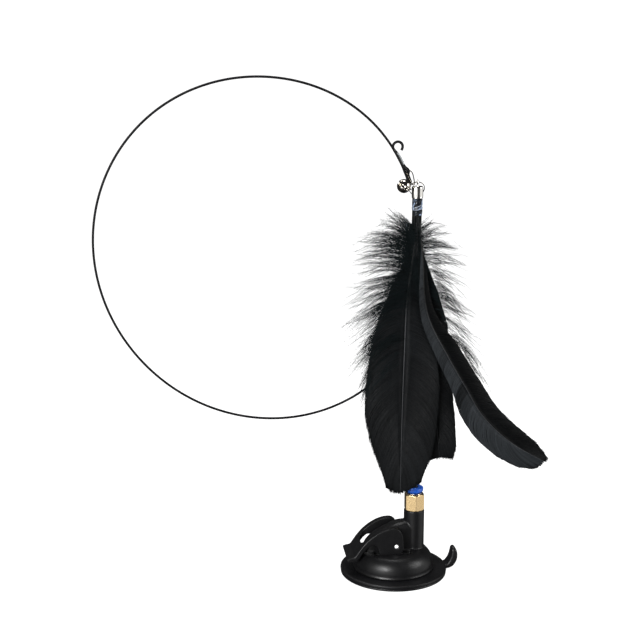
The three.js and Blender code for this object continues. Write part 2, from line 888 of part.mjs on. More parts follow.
const strandSteps = 9;
for (let i = 1; i <= strandSteps; i++) {
  wirePath.push(onTip((tipLength * i) / strandSteps, 0));
}
const foldSteps = 6;
for (let i = 1; i < foldSteps; i++) {
  const turn = (Math.PI * i) / foldSteps;
  const past = (strandSpacing / 2) * Math.sin(turn);
  const reach = (strandSpacing / 2) * (1 - Math.cos(turn));
  wirePath.push(onTip(tipLength + past, reach * Math.cos(foldRoll), reach * Math.sin(foldRoll)));
}
// The tail climbs beside the strand, bulges into the eye, and rolls round to the front towards its end
const tailSteps = 30;
const rollLength = 2 * curlRadius;
function beside(along, share, spread = tailSide(along)) {
  const roll = foldRoll + (Math.PI / 2 - foldRoll) * smooth(1 - (along - curlAt) / rollLength);
  return onTip(along, share * spread * Math.cos(roll), share * spread * Math.sin(roll));
}
for (let i = tailSteps; i >= 0; i--) {
  wirePath.push(beside(curlAt + ((tipLength - curlAt) * i) / tailSteps, 1));
}
const curlStart = beside(curlAt, 1);
const curlHeading = tipHeading + Math.PI;
const curlSteps = 16;
const curl = run([curlStart.x, curlStart.z], curlHeading, curlRadius * curlTurn, -curlTurn, curlSteps);
curl.push(...run(curl[curl.length - 1], curlHeading - curlTurn, curlEnd, 0, 1));
curl.forEach(([x, z], i) => {
  wirePath.push(new THREE.Vector3(x, curlStart.y - curlForward * smooth((2 * (i + 1)) / curlSteps), z));
});
add("spring_wire", tube(wirePath, wireRadius, 6), finishes.blacked);

// Two shrink sleeves hold the fold, above and below the eye

const sleeveBore = wireRadius + strandSpacing / 2 + restSeam;

function sleeve(from, to) {
  const middle = (along) => beside(along, 1 / 2, strandSpacing);
  const steps = 8;
  const outer = [];
  const inner = [];
  for (let i = 0; i <= steps; i++) {
    outer.push(middle(from + ((to - from) * i) / steps));
    inner.push(middle(from - overrun + ((to - from + 2 * overrun) * i) / steps));
  }
  const bore = tube(inner, sleeveBore, 16);
  return tube(outer, sleeveBore + sleeveWall, 16).subtract(bore);
}

add("upper_sleeve", sleeve(curlAt + sleeveHead, eyeStart - sleeveEyeMargin), finishes.nylon);
add("tip_sleeve", sleeve(eyeStart + eyeLength + sleeveEyeMargin, tipLength + sleeveOverEnd), finishes.nylon);

// Snap clasp: hooked through the eye at its top and round the split ring at its bottom

const eye = beside(eyeMiddle, 1, wireRadius + eyeOpening / 2);
const ringHold = eye.clone().add(new THREE.Vector3(claspRight, -claspForward, -claspDrop));
const claspAlong = ringHold.clone().sub(eye).normalize();
const claspFacing = new THREE.Vector3(Math.sin(claspTwist), Math.cos(claspTwist), 0);
const claspAcross = claspFacing.sub(claspAlong.clone().multiplyScalar(claspFacing.dot(claspAlong))).normalize();
const claspEnd = claspWireRadius + splitRingWireRadius + seam;
const claspLength = ringHold.distanceTo(eye) + claspEnd;

function onClasp(along, across) {
  return eye.clone().add(claspAlong.clone().multiplyScalar(along)).add(claspAcross.clone().multiplyScalar(across));
}

// The claw's outline from its nose to its gate's hinge: [across, along], as shares of its length
const clawShares = [
  [-0.12, 0.27],
  [-0.12, 0.15],
  [-0.1, 0.05],
  [0, 0],
  [0.18, -0.01],
  [0.34, 0.05],
  [0.4, 0.2],
  [0.33, 0.48],
  [0.22, 0.74],
  [0.13, 0.91],
  [0, 1],
  [-0.11, 0.95],
  [-0.12, 0.84],
];

function onClaw([across, along]) {
  return onClasp(along * claspLength, across * claspLength);
}

function claspBody() {
  const curve = new THREE.CatmullRomCurve3(clawShares.map(onClaw), false, "centripetal");
  return tube(curve.getSpacedPoints(36), claspWireRadius, 8);
}

add("clasp_body", claspBody(), finishes.nickel);

const gateLow = clawShares[clawShares.length - 1];
const gateHigh = clawShares[0];
const gateHinge = onClaw([gateLow[0], gateLow[1] - gateGap / claspLength]);
const gateNose = onClaw([gateHigh[0], gateHigh[1] + gateGap / claspLength]);
add("clasp_gate", tube([gateHinge, gateHinge.clone().lerp(gateNose, 1 / 2), gateNose], gateRadius, 8), finishes.nickel);

// Split ring: leans back from its top, where the feather cap hangs

const ringDown = new THREE.Vector3(0, Math.sin(splitRingTilt), -Math.cos(splitRingTilt));
const claspTurn = Math.asin(claspAside / splitRingRadius);
const ringCentre = ringHold
  .clone()
  .add(right.clone().multiplyScalar(claspAside))
  .add(ringDown.clone().multiplyScalar(splitRingRadius * Math.cos(claspTurn)));
const ringTop = ringCentre.clone().sub(ringDown.clone().multiplyScalar(splitRingRadius));
add(
  "split_ring",
  hoop(ringCentre, right, ringDown, splitRingRadius, splitRingWireRadius, 32, 8),
  finishes.nickel,
);

// Bell: a slotted shell on its own loop at the ring's side, with a loose ball

const bellHold = ringCentre
  .clone()
  .sub(right.clone().multiplyScalar(splitRingRadius * Math.sin(bellTurn)))
  .sub(ringDown.clone().multiplyScalar(splitRingRadius * Math.cos(bellTurn)));
const bellReach = bellRadius + loopRadius + bellNeck;
const bellCentre = bellHold.clone().add(bellDirection.clone().multiplyScalar(bellReach));

function bellShell() {
  // Made round Z with its loop on top, then turned into place
  const sphere = (radius) => solid(new THREE.SphereGeometry(radius, 20, 12));
  const slot = block(
    [-bellSlotReach, -bellSlotHalfWidth, -bellRadius - overrun],
    [bellSlotReach, bellSlotHalfWidth, -bellWall],
  );
  const hole = column(bellHoleRadius, -bellRadius - overrun, -bellWall, 16);
  const neckLow = bellRadius - bellWall / 2;
  const neck = column(neckRadius, neckLow, bellReach - loopRadius + loopWireRadius / 2, 12);
  const loop = hoop(up.clone().multiplyScalar(bellReach), right, up, loopRadius, loopWireRadius, 18, 8);
  const shell = sphere(bellRadius)
    .subtract(sphere(bellRadius - bellWall))
    .subtract(slot)
    .subtract(hole.translate([bellSlotReach, 0, 0]))
    .subtract(hole.translate([-bellSlotReach, 0, 0]))
    .add(neck)
    .add(loop);
  const zAxis = bellDirection.clone().negate();
  const loopAxis = ringDown.clone().sub(zAxis.clone().multiplyScalar(ringDown.dot(zAxis))).normalize();
  const xAxis = loopAxis.clone().cross(zAxis).normalize();
  const matrix = new THREE.Matrix4().makeBasis(xAxis, loopAxis, zAxis).setPosition(bellCentre);
  return shell.transform(matrix.elements);
}

add("bell_shell", bellShell(), finishes.nickel);
const ballCentre = bellCentre.clone();
ballCentre.z -= bellRadius - bellWall - bellBallRadius - restSeam;
const ball = new THREE.SphereGeometry(bellBallRadius, 14, 10);
ball.translate(ballCentre.x, ballCentre.y, ballCentre.z);
add("bell_ball", solid(ball), finishes.steel);

// Feather cap: a crimped metal cap on a loop round the split ring's top

const capTop = ringTop.z - capDrop;
const capLow = capTop - capHeight;
const capMiddle = [ringTop.x, ringTop.y, 0];
function featherCap() {
  const shell = turned(
    [
      [0, capTop],
      [capRadius - capWall / 2, capTop],
      [capRadius, capTop - capWall],
      [capRadius, capLow + capWall],
      [capRadius - capWall / 3, capLow],
      [capRadius - capWall, capLow],
      [capRadius - capWall, capTop - capCrown],
      [0, capTop - capCrown],
    ],
    32,
  );
  const neck = column(neckRadius, capTop - capWall, ringTop.z - loopRadius, 12);
  const loopCentre = up.clone().multiplyScalar(ringTop.z);
  const loop = hoop(loopCentre, back, up, loopRadius, loopWireRadius, 18, 8);
  return shell.add(neck).add(loop).translate(capMiddle);
}

add("feather_cap", featherCap(), finishes.nickel);

// Binding round the five quills, below the cap, with thread wound on it

const bindingTop = capLow - seam;
const bindingLow = bindingTop - bindingLength;
const bindingInner = bundleRadius + quillRadius + seam;
const bindingOuter = bindingInner + bindingWall;
add(
  "quill_binding",
  turned(
    [
      [bindingInner, bindingLow],
      [bindingOuter, bindingLow],
      [bindingOuter, bindingTop],
      [bindingInner, bindingTop],
      [bindingInner, bindingLow],
    ],
    24,
  ).translate(capMiddle),
  finishes.film,
);

function thread() {
  const perTurn = 16;
  const steps = threadTurns * perTurn;
  const radius = bindingOuter + threadRadius + slip;
  const low = bindingLow + bindingLength / 5;
  const high = bindingTop - bindingLength / 4;
  const path = [];
  for (let i = 0; i <= steps; i++) {
    const turn = (2 * Math.PI * i) / perTurn;
    const z = low + ((high - low) * i) / steps;
    path.push(new THREE.Vector3(radius * Math.cos(turn), radius * Math.sin(turn), z));
  }
  const selfGap = (high - low) / threadTurns - 2 * threadRadius;
  console.log(`binding thread: least gap between its turns ${selfGap.toFixed(2)} mm`);
  return tube(path, threadRadius, 5).translate(capMiddle);
}

add("binding_thread", thread(), finishes.thread);

// Feathers: each a thin blade on its quill, with barbs cut into its edges

// spineShares: [down, sideways, forward] of the length; vaneShares: [down, left, right] of the width
function feather({ length, width, bundleTurn, spineShares, vaneShares, stations, barb, droop }) {
  const quillTop = capLow + quillHold;
  const quillHalf = shaftHalfWidth + vaneThickness / 3;
  const rootX = ringTop.x + bundleRadius * Math.cos(bundleTurn);
  const rootY = ringTop.y + bundleRadius * Math.sin(bundleTurn);
  const curve = new THREE.CatmullRomCurve3(
    spineShares.map(
      ([down, sideways, forward]) =>
        new THREE.Vector3(rootX + sideways * length, rootY - forward * length, quillTop - down * length),
    ),
    false,
    "centripetal",
  );
  const rings = [];
  for (let i = 0; i <= stations; i++) {
    const at = i / stations;
    const middle = curve.getPointAt(at);
    const along = curve.getTangentAt(at);
    const across = new THREE.Vector3(-along.z, 0, along.x).normalize();
    const out = across.clone().cross(along).normalize();
    const notch = i % 2 ? 1 - barb : 1;
    const slide = i % 2 ? 0 : droop * length;
    const left = Math.max(between(vaneShares, at, 1) * width * notch, quillHalf);
    const rightWide = Math.max(between(vaneShares, at, 2) * width * notch, quillHalf);
    const blade = left > shaftHalfWidth * 2;
    const thin = blade ? vaneThickness / 2 : shaftHalfThickness * barrelShare;
    const point = (side, thick, fall) =>
      middle
        .clone()
        .add(across.clone().multiplyScalar(side))
        .add(out.clone().multiplyScalar(thick))
        .add(along.clone().multiplyScalar(fall));
    const fall = blade ? slide : 0;
    rings.push([
      point(-left, -thin, fall),
      point(-shaftHalfWidth, -shaftHalfThickness, 0),
      point(shaftHalfWidth, -shaftHalfThickness, 0),
      point(rightWide, -thin, fall),
      point(rightWide, thin, fall),
      point(shaftHalfWidth, shaftHalfThickness, 0),
      point(-shaftHalfWidth, shaftHalfThickness, 0),
      point(-left, thin, fall),
    ]);
  }
  return loft(rings);
}

const degree = Math.PI / 180;
const feathers = {
  feather_front: {
    length: frontLength,
    width: frontWidth,
    bundleTurn: -90 * degree,
    spineShares: [
      [0, 0, 0],
      [0.08, 0, 0],
      [0.2, -0.012, 0.004],
      [0.325, -0.029, 0.007],
      [0.54, -0.038, 0.009],
      [0.765, -0.043, 0.01],
      [1, -0.045, 0.01],
    ],
    vaneShares: [
      [0, 0, 0],
      [0.17, 0, 0],
      [0.22, 0.16, 0.16],
      [0.32, 0.45, 0.4],
      [0.43, 0.74, 0.65],
      [0.54, 0.93, 0.86],
      [0.64, 1, 0.98],
      [0.74, 1, 0.97],
      [0.82, 0.86, 0.92],
      [0.9, 0.62, 0.8],
      [0.96, 0.47, 0.66],
      [0.985, 0.4, 0.56],
      [1, 0.1, 0.34],
    ],
    stations: 46,
    barb: 0.06,
    droop: 0.006,
  },
  feather_back: {
    length: backLength,
    width: backWidth,
    bundleTurn: 54 * degree,
    spineShares: [
      [0, 0, 0],
      [0.09, 0, 0],
      [0.22, 0.008, -0.001],
      [0.4, 0.03, -0.002],
      [0.6, 0.054, -0.003],
      [0.8, 0.076, -0.004],
      [1, 0.095, -0.004],
    ],
    vaneShares: [
      [0, 0, 0],
      [0.19, 0, 0],
      [0.26, 0.2, 0.2],
      [0.38, 0.5, 0.5],
      [0.5, 0.78, 0.72],
      [0.62, 0.95, 0.8],
      [0.74, 1, 0.8],
      [0.86, 0.9, 0.72],
      [0.95, 0.7, 0.5],
      [0.98, 0.55, 0.3],
      [1, 0.3, 0.1],
    ],
    stations: 40,
    barb: 0.08,
    droop: 0.006,
  },
  feather_side: {
    length: sideLength,
    width: sideWidth,
    bundleTurn: -18 * degree,
    spineShares: [
      [0, 0, 0],
      [0.087, 0, 0],
      [0.233, 0.009, 0.001],
      [0.441, 0.031, 0.001],
      [0.582, 0.102, 0.001],
      [0.709, 0.176, 0.001],
      [0.8, 0.23, 0.001],
      [0.914, 0.344, 0.001],
      [1, 0.485, 0.001],
    ],
    vaneShares: [
      [0, 0, 0],
      [0.16, 0, 0],
      [0.22, 0.12, 0.12],
      [0.36, 0.3, 0.35],
      [0.5, 0.5, 0.7],
      [0.6, 0.6, 0.74],
      [0.7, 0.85, 0.74],
      [0.8, 1, 0.71],
      [0.88, 1, 0.68],
      [0.94, 0.92, 0.6],
      [0.975, 0.7, 0.42],
      [1, 0.2, 0.12],
    ],
    stations: 44,
    barb: 0.06,
    droop: 0.005,
  },
  feather_down: {
    length: downLength,
    width: downWidth,
    bundleTurn: 198 * degree,
    spineShares: [
      [0, 0, 0],
      [0.12, 0, 0],
      [0.15, -0.01, 0.018],
      [0.18, -0.014, 0.03],
      [0.24, -0.016, 0.036],
      [0.5, -0.02, 0.037],
      [1, -0.03, 0.038],
    ],
    vaneShares: [
      [0, 0, 0],
      [0.145, 0, 0],
      [0.165, 0.28, 0.18],
      [0.2, 0.5, 0.38],
      [0.27, 0.66, 0.58],
      [0.36, 0.78, 0.7],
      [0.5, 0.86, 0.84],
      [0.66, 0.83, 0.95],
      [0.8, 0.78, 1],
      [0.92, 0.66, 0.9],
      [1, 0.2, 0.3],
    ],
    stations: 40,
    barb: 0.3,
    droop: 0.02,
  },
  feather_back_down: {
    length: backDownLength,
    width: backDownWidth,
    bundleTurn: 126 * degree,
    spineShares: [
      [0, 0, 0],
      [0.135, 0, 0],
      [0.2, -0.002, -0.012],
      [0.3, -0.004, -0.018],
      [0.6, -0.01, -0.018],
      [1, -0.012, -0.018],
    ],
    vaneShares: [
      [0, 0, 0],
      [0.2, 0, 0],
      [0.24, 0.35, 0.35],
      [0.32, 0.7, 0.7],
      [0.5, 0.95, 0.95],
      [0.7, 1, 1],
      [0.88, 0.8, 0.85],
      [1, 0.2, 0.3],
    ],
    stations: 32,
    barb: 0.3,
    droop: 0.02,
  },
};

Object.entries(feathers).forEach(([name, values]) => {
  add(name, feather(values), finishes.feather);
});

// The places that the record's joints turn about
const say = (label, p) => console.log(`${label} ${p.x.toFixed(2)} ${p.y.toFixed(2)} ${p.z.toFixed(2)} mm`);
say("eye", eye);
say("clasp gate hinge", gateHinge);
say("clasp holds the ring at", ringHold);
say("feather cap's loop", ringTop);
say("bell's loop", bellHold);

export default group;
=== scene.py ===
"""Looks of the suction-cup cat toy, laid out as an add-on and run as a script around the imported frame.

Lengths are metres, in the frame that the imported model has: the cup stands on z = 0 round the Z axis, and
+X points at the post. Sizes that are written in millimetres are turned into metres by MM.
"""

import math

import bmesh
import bpy
import numpy as np
from bpy.props import FloatProperty, FloatVectorProperty, IntProperty, PointerProperty
from mathutils import Matrix, Vector


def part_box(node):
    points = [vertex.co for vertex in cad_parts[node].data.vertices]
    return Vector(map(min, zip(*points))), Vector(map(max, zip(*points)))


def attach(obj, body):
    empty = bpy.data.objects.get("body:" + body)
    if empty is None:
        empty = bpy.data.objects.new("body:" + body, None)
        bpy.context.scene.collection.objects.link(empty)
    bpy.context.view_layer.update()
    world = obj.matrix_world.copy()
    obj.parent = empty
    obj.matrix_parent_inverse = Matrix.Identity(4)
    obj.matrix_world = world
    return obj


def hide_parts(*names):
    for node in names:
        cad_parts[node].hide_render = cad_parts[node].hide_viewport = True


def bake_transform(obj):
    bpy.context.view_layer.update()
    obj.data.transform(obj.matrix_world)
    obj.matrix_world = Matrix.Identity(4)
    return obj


bl_info = {
    "name": "Suction cup cat toy",
    "version": (1, 0, 0),
    "blender": (4, 5, 0),
    "location": "View3D > Sidebar > Cat toy",
    "description": "Builds the surfaces, feathers and studio of a suction-cup cat toy around its frame",
    "category": "Add Mesh",
}

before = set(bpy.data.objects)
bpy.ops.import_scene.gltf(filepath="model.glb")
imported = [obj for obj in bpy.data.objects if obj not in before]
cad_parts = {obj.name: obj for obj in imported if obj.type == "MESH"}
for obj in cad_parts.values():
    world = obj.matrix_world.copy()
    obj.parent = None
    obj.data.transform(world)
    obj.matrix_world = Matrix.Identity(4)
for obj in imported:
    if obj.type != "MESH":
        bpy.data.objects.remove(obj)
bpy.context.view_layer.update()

MM = 0.001
DEGREE = math.pi / 180
X_AXIS = np.array([1.0, 0.0, 0.0])
Y_AXIS = np.array([0.0, 1.0, 0.0])
Z_AXIS = np.array([0.0, 0.0, 1.0])

# Places of the frame that the pieces are worked out from
collar_low, collar_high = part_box("release_collar")
seat_low, seat_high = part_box("fitting_seat_ring")
tube_low, tube_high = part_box("wire_end_tube")
pin_low, pin_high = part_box("lever_pin")
cap_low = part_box("feather_cap")[0]
film_low, film_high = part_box("quill_binding")
thread_low, thread_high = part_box("binding_thread")

post_x = (collar_low.x + collar_high.x) / 2
pin_z = (pin_low.z + pin_high.z) / 2

# A profile that would reach its axis starts this far from it, so that its pole is a small closed face
AXIS_GAP = 0.05 * MM


# Arrays: paths, profiles and grids


def unit(vectors):
    """Each vector divided by its length."""
    return vectors / np.linalg.norm(vectors, axis=-1, keepdims=True)


def smoothstep(value):
    """3 t^2 - 2 t^3, with t held between 0 and 1."""
    t = np.clip(value, 0, 1)
    return t * t * (3 - 2 * t)


def full_turn(sides):
    """Angles at even steps once round, without the last, which would be the first again."""
    return np.linspace(0, 2 * math.pi, sides, endpoint=False)


def curve_through(points, pieces):
    """A cubic through every point: the slope at each is the change against arc length, and each span is
    a Hermite blend of its two ends and slopes, cut into equal pieces."""
    points = np.asarray(points, float)
    step = np.linalg.norm(np.diff(points, axis=0), axis=1)
    slope = np.gradient(points, np.concatenate([[0], np.cumsum(step)]), axis=0)
    u = (np.arange(pieces) / pieces)[None, :, None]
    span = step[:, None, None]
    a, b = points[:-1, None], points[1:, None]
    out_a, into_b = slope[:-1, None] * span, slope[1:, None] * span
    body = (2 * u**3 - 3 * u**2 + 1) * a + (u**3 - 2 * u**2 + u) * out_a
    body = body + (3 * u**2 - 2 * u**3) * b + (u**3 - u**2) * into_b
    return np.vstack([body.reshape(-1, points.shape[1]), points[-1:]])


def evenly(path, count):
    """The same path with count points at even distances along it."""
    step = np.linalg.norm(np.diff(path, axis=0), axis=1)
    place = np.concatenate([[0], np.cumsum(step)])
    want = np.linspace(0, place[-1], count)
    return np.stack([np.interp(want, place, path[:, i]) for i in range(path.shape[1])], axis=1)


def table(rows, at, column):
    """Straight-line look-up of a table whose first column is the place."""
    rows = np.asarray(rows, float)
    return np.interp(at, rows[:, 0], rows[:, column])


def rounded(outline, size, steps=4, closed=False):
    """Each corner becomes a quadratic curve from size before it to size after it, at most half a side."""
    points = np.asarray(outline, float)
    before = np.roll(points, 1, axis=0) - points
    after = np.roll(points, -1, axis=0) - points
    reach = np.broadcast_to(size, len(points))[:, None]
    start = points + before * np.minimum(reach / np.linalg.norm(before, axis=1, keepdims=True), 0.5)
    end = points + after * np.minimum(reach / np.linalg.norm(after, axis=1, keepdims=True), 0.5)
    t = np.linspace(0, 1, steps)[None, :, None]
    curves = (1 - t) ** 2 * start[:, None] + 2 * t * (1 - t) * points[:, None] + t**2 * end[:, None]
    if closed:
        return curves.reshape(-1, 2)
    return np.vstack([points[:1], curves[1:-1].reshape(-1, 2), points[-1:]])


def turned(profile, sides, centre=(0.0, 0.0)):
    """A profile of [radius, height] carried round the Z axis: rows follow the profile, columns go round."""
    radius, height = np.asarray(profile, float).T
    turn = full_turn(sides)
    x = centre[0] + radius[:, None] * np.cos(turn)
    y = centre[1] + radius[:, None] * np.sin(turn)
    return np.stack([x, y, np.broadcast_to(height[:, None], x.shape)], axis=-1)


def tube(path, radius, sides, reference, flatten=1.0):
    """A circle, or an ellipse flattened along the reference, carried along the path: side is the reference
    crossed with the path's direction, and up the direction crossed with side."""
    along = unit(np.gradient(path, axis=0))
    side = unit(np.cross(reference, along))
    up = np.cross(along, side)
    turn = full_turn(sides)[None, :, None]
    ring = np.cos(turn) * side[:, None] + flatten * np.sin(turn) * up[:, None]
    return path[:, None] + np.broadcast_to(radius, len(path))[:, None, None] * ring


def column(radius, low, high, sides, centre=(0.0, 0.0)):
    """An upright round bar."""
    return turned([[radius, low], [radius, high]], sides, centre)


def prism(outline, low, high, plane):
    """An outline carried from low to high along the axis that the plane leaves out."""
    left_out = {"xy": 2, "xz": 1}[plane]
    return np.stack([np.insert(np.asarray(outline, float), left_out, level, axis=1) for level in (low, high)])


def crossbar(radius, half_length, sides, x, z):
    """A round bar along Y."""
    turn = full_turn(sides)
    circle = np.stack([x + radius * np.sin(turn), z + radius * np.cos(turn)], axis=1)
    return prism(circle, -half_length, half_length, "xz")


def wire_loop(centre, radius, wire, axis, across, sides):
    """A ring of round wire: a circle round the axis, through across and Z, with a circle carried along it."""
    around = full_turn(sides)[:, None]
    out = np.cos(around) * across + np.sin(around) * Z_AXIS
    seam = full_turn(14)[None, :, None]
    section = np.cos(seam) * out[:, None] + np.sin(seam) * axis
    return (centre + radius * out)[:, None] + wire * section


def end_rounding(count, blunt=0.12, steps=3):
    """Shares of a wire's radius at its stations, which make each end a part of a ball."""
    station = np.arange(count)
    from_end = np.minimum(station, station[::-1])
    return np.sqrt(1 - (1 - np.clip(from_end / steps, blunt, 1)) ** 2)


# Meshes


def linked(name, data):
    """An object at the origin for this mesh, lamp or camera."""
    found = bpy.data.objects.new(name, data)
    bpy.context.scene.collection.objects.link(found)
    return found


def mesh_object(name, points, faces):
    """An object at the origin whose mesh holds these points and faces."""
    mesh = bpy.data.meshes.new(name)
    mesh.from_pydata(np.asarray(points, float).reshape(-1, 3), [], faces)
    mesh.shade_smooth()
    mesh.update()
    return linked(name, mesh)


def quads(lower, upper):
    """Four-sided faces between rings of points, given as point numbers whose last axis goes round."""
    faces = np.stack([lower, np.roll(lower, -1, -1), np.roll(upper, -1, -1), upper], axis=-1)
    return faces.reshape(-1, 4)


def skin(name, rows, ring=False):
    """Four-sided faces between neighbouring rows of points, whose columns close on themselves. A ring
    closes from its last row to its first, and anything else gets a cap at each end."""
    count, sides = rows.shape[:2]
    index = np.arange(count * sides).reshape(count, sides)
    if ring:
        faces = quads(index, np.roll(index, -1, axis=0)).tolist()
    else:
        faces = quads(index[:-1], index[1:]).tolist() + [index[0][::-1].tolist(), index[-1].tolist()]
    found = mesh_object(name, rows, faces)
    outward(found)
    return found


def outward(found):
    """Turns every face of a closed mesh outwards."""
    work = bmesh.new()
    work.from_mesh(found.data)
    bmesh.ops.recalc_face_normals(work, faces=work.faces)
    work.to_mesh(found.data)
    work.free()


def settle(found):
    """Puts the result of an object's modifiers into its mesh."""
    graph = bpy.context.evaluated_depsgraph_get()
    made = bpy.data.meshes.new_from_object(found.evaluated_get(graph))
    found.modifiers.clear()
    found.data = made
    made.shade_smooth()
    return found


def combine(found, others, operation):
    """Joins the others to the object, or cuts them out of it, and removes them."""
    for other in others:
        step = found.modifiers.new("step", "BOOLEAN")
        step.operation = operation
        step.solver = "MANIFOLD"
        step.object = other
    settle(found)
    for other in others:
        bpy.data.objects.remove(other)


def softened(found, cell, passes):
    """Rebuilds the surface on an even grid of cells and relaxes it, so that edges are round as if moulded."""
    rebuild = found.modifiers.new("rebuild", "REMESH")
    rebuild.mode = "VOXEL"
    rebuild.voxel_size = cell
    relax = found.modifiers.new("relax", "SMOOTH")
    relax.factor = 0.5
    relax.iterations = passes
    return settle(found)


def join(name, parts):
    """One object from several, with each part's faces kept as they are."""
    work = bmesh.new()
    for part in parts:
        work.from_mesh(part.data)
        bpy.data.objects.remove(part)
    mesh = bpy.data.meshes.new(name)
    work.to_mesh(mesh)
    work.free()
    mesh.shade_smooth()
    return linked(name, mesh)


def strands(name, paths, half_width, facing, flatness, tone):
    """Thin bars with a diamond section, one along each path. paths is (bars, stations, 3) and half_width
    (bars, stations). The section lies across facing, and is flatness times as thick as it is wide. tone
    is one number for each bar, kept as an attribute that the material reads."""
    bars, stations = paths.shape[:2]
    along = unit(np.gradient(paths, axis=1))
    side = unit(np.cross(facing, along))
    up = np.cross(along, side)
    wide = half_width[..., None] * side
    thick = half_width[..., None] * flatness * up
    points = np.stack([paths + wide, paths + thick, paths - wide, paths - thick], axis=2)
    index = np.arange(bars * stations * 4).reshape(bars, stations, 4)
    faces = np.vstack([quads(index[:, :-1], index[:, 1:]), index[:, 0, ::-1], index[:, -1]])
    mesh = bpy.data.meshes.new(name)
    mesh.vertices.add(points.size // 3)
    mesh.vertices.foreach_set("co", points.astype(np.float32).ravel())
    mesh.loops.add(faces.size)
    mesh.loops.foreach_set("vertex_index", faces.astype(np.int32).ravel())
    mesh.polygons.add(len(faces))
    mesh.polygons.foreach_set("loop_start", np.arange(0, faces.size, 4, dtype=np.int32))
    mesh.update(calc_edges=True)
    return numbered(linked(name, mesh), "tone", np.repeat(tone, stations * 4))


def numbered(found, name, values):
    """Keeps one number for each point of a mesh, which its material reads by that name."""
    kept = found.data.attributes.new(name, "FLOAT", "POINT")
    kept.data.foreach_set("value", np.asarray(values).astype(np.float32).ravel())
    return found


def place(found, body, slot, material, *nodes):
    """Gives a piece its material and body, and hides the nodes that it stands for; slot is not used."""
    found.data.materials.clear()
    found.data.materials.append(material)
    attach(found, body)
    if nodes:
        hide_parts(*nodes)


WELD_WITHIN = 0.004 * MM
SHARP_FROM = 40 * DEGREE  # edges that turn further than this are bevelled


def dress(node, material, edge=0.0):
    """A node that keeps its own shape: welded and smoothed by modifiers, and given its material."""
    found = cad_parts[node]
    found.data.materials.clear()
    found.data.materials.append(material)
    weld = found.modifiers.new("weld", "WELD")
    weld.merge_threshold = WELD_WITHIN
    if edge:
        bevel = found.modifiers.new("edge", "BEVEL")
        bevel.width = edge
        bevel.segments = 2
        bevel.limit_method = "ANGLE"
        bevel.angle_limit = SHARP_FROM
        bevel.harden_normals = False


# Materials: each reads Object coordinates or a piece's own attribute


def add_node(tree, kind, output, links, **values):
    """A shader node with these links and values on its inputs, where an underscore stands for a space.
    Gives one of its outputs."""
    found = tree.nodes.new("ShaderNode" + kind)
    for socket, value in values.items():
        found.inputs[socket.replace("_", " ")].default_value = value
    for socket, source in links.items():
        tree.links.new(source, found.inputs[socket])
    return found.outputs[output]


class Surface:
    """A Principled surface whose textures are added one by one."""

    def __init__(self, name, colour, roughness, metallic=0.0, **sockets):
        self.colour = colour
        self.material = bpy.data.materials.new(name)
        self.material.use_nodes = True
        self.tree = self.material.node_tree
        self.shader = self.tree.nodes["Principled BSDF"]
        self.shader.inputs["Base Color"].default_value = (*colour, 1)
        self.shader.inputs["Roughness"].default_value = roughness
        self.shader.inputs["Metallic"].default_value = metallic
        for socket, value in sockets.items():
            self.shader.inputs[socket.replace("_", " ")].default_value = value
        self.place = add_node(self.tree, "TexCoord", "Object", {})
        self.height = None

    def noise(self, scale, detail=3.0, stretch=(1, 1, 1)):
        """Fractal noise, scale cells to the metre, stretched along the axes."""
        at = add_node(self.tree, "Mapping", "Vector", {"Vector": self.place}, Scale=stretch)
        return add_node(self.tree, "TexNoise", "Fac", {"Vector": at}, Scale=scale, Detail=detail)

    def attribute(self, name):
        """A number that the mesh carries."""
        found = self.tree.nodes.new("ShaderNodeAttribute")
        found.attribute_name = name
        return found.outputs["Fac"]

    def lines(self, name, scale):
        """Noise along a number that the mesh carries, so that it is the same all along each line."""
        found = self.tree.nodes.new("ShaderNodeTexNoise")
        found.noise_dimensions = "1D"
        found.inputs["Scale"].default_value = scale
        found.inputs["Detail"].default_value = 3
        self.tree.links.new(self.attribute(name), found.inputs["W"])
        return found.outputs["Fac"]

    def rough(self, value, low, high):
        """Roughness from low to high as the value goes from 0.3 to 0.7."""
        limits = {"From_Min": 0.3, "From_Max": 0.7, "To_Min": low, "To_Max": high}
        found = add_node(self.tree, "MapRange", "Result", {"Value": value}, **limits)
        self.tree.links.new(found, self.shader.inputs["Roughness"])

    def tint(self, value, low, high, start=0.3, end=0.7):
        """Low to high times the surface's own colour, as the value goes from start to end."""
        ramp = self.tree.nodes.new("ShaderNodeValToRGB")
        for element, share, position in zip(ramp.color_ramp.elements, (low, high), (start, end)):
            element.color = (*(share * level for level in self.colour), 1)
            element.position = position
        self.tree.links.new(value, ramp.inputs["Fac"])
        self.tree.links.new(ramp.outputs["Color"], self.shader.inputs["Base Color"])

    def bump(self, value, depth, strength=1.0):
        """Relief of that depth in metres, on top of any relief before it."""
        links = {"Height": value} | ({"Normal": self.height} if self.height else {})
        self.height = add_node(self.tree, "Bump", "Normal", links, Strength=strength, Distance=depth)
        self.tree.links.new(self.height, self.shader.inputs["Normal"])


def black_plastic(colour):
    """Moulded plastic: semi-gloss, with a fine spark-eroded texture and slow changes of gloss."""
    made = Surface("black_plastic", colour, 0.36, Specular_IOR_Level=0.22)
    made.rough(made.noise(260, 4), 0.33, 0.42)
    made.bump(made.noise(5200, 2), 0.01 * MM, 0.5)
    made.bump(made.noise(420, 2), 0.02 * MM, 0.35)
    return made.material


def cup_rubber(colour):
    """Soft rubber: a little duller than the housing, with faint dust."""
    made = Surface("cup_rubber", colour, 0.42, Specular_IOR_Level=0.2)
    made.rough(made.noise(340, 5), 0.34, 0.46)
    made.tint(made.noise(900, 6), 1, 1.7, 0.45, 0.8)
    made.bump(made.noise(3800, 3), 0.012 * MM, 0.5)
    return made.material


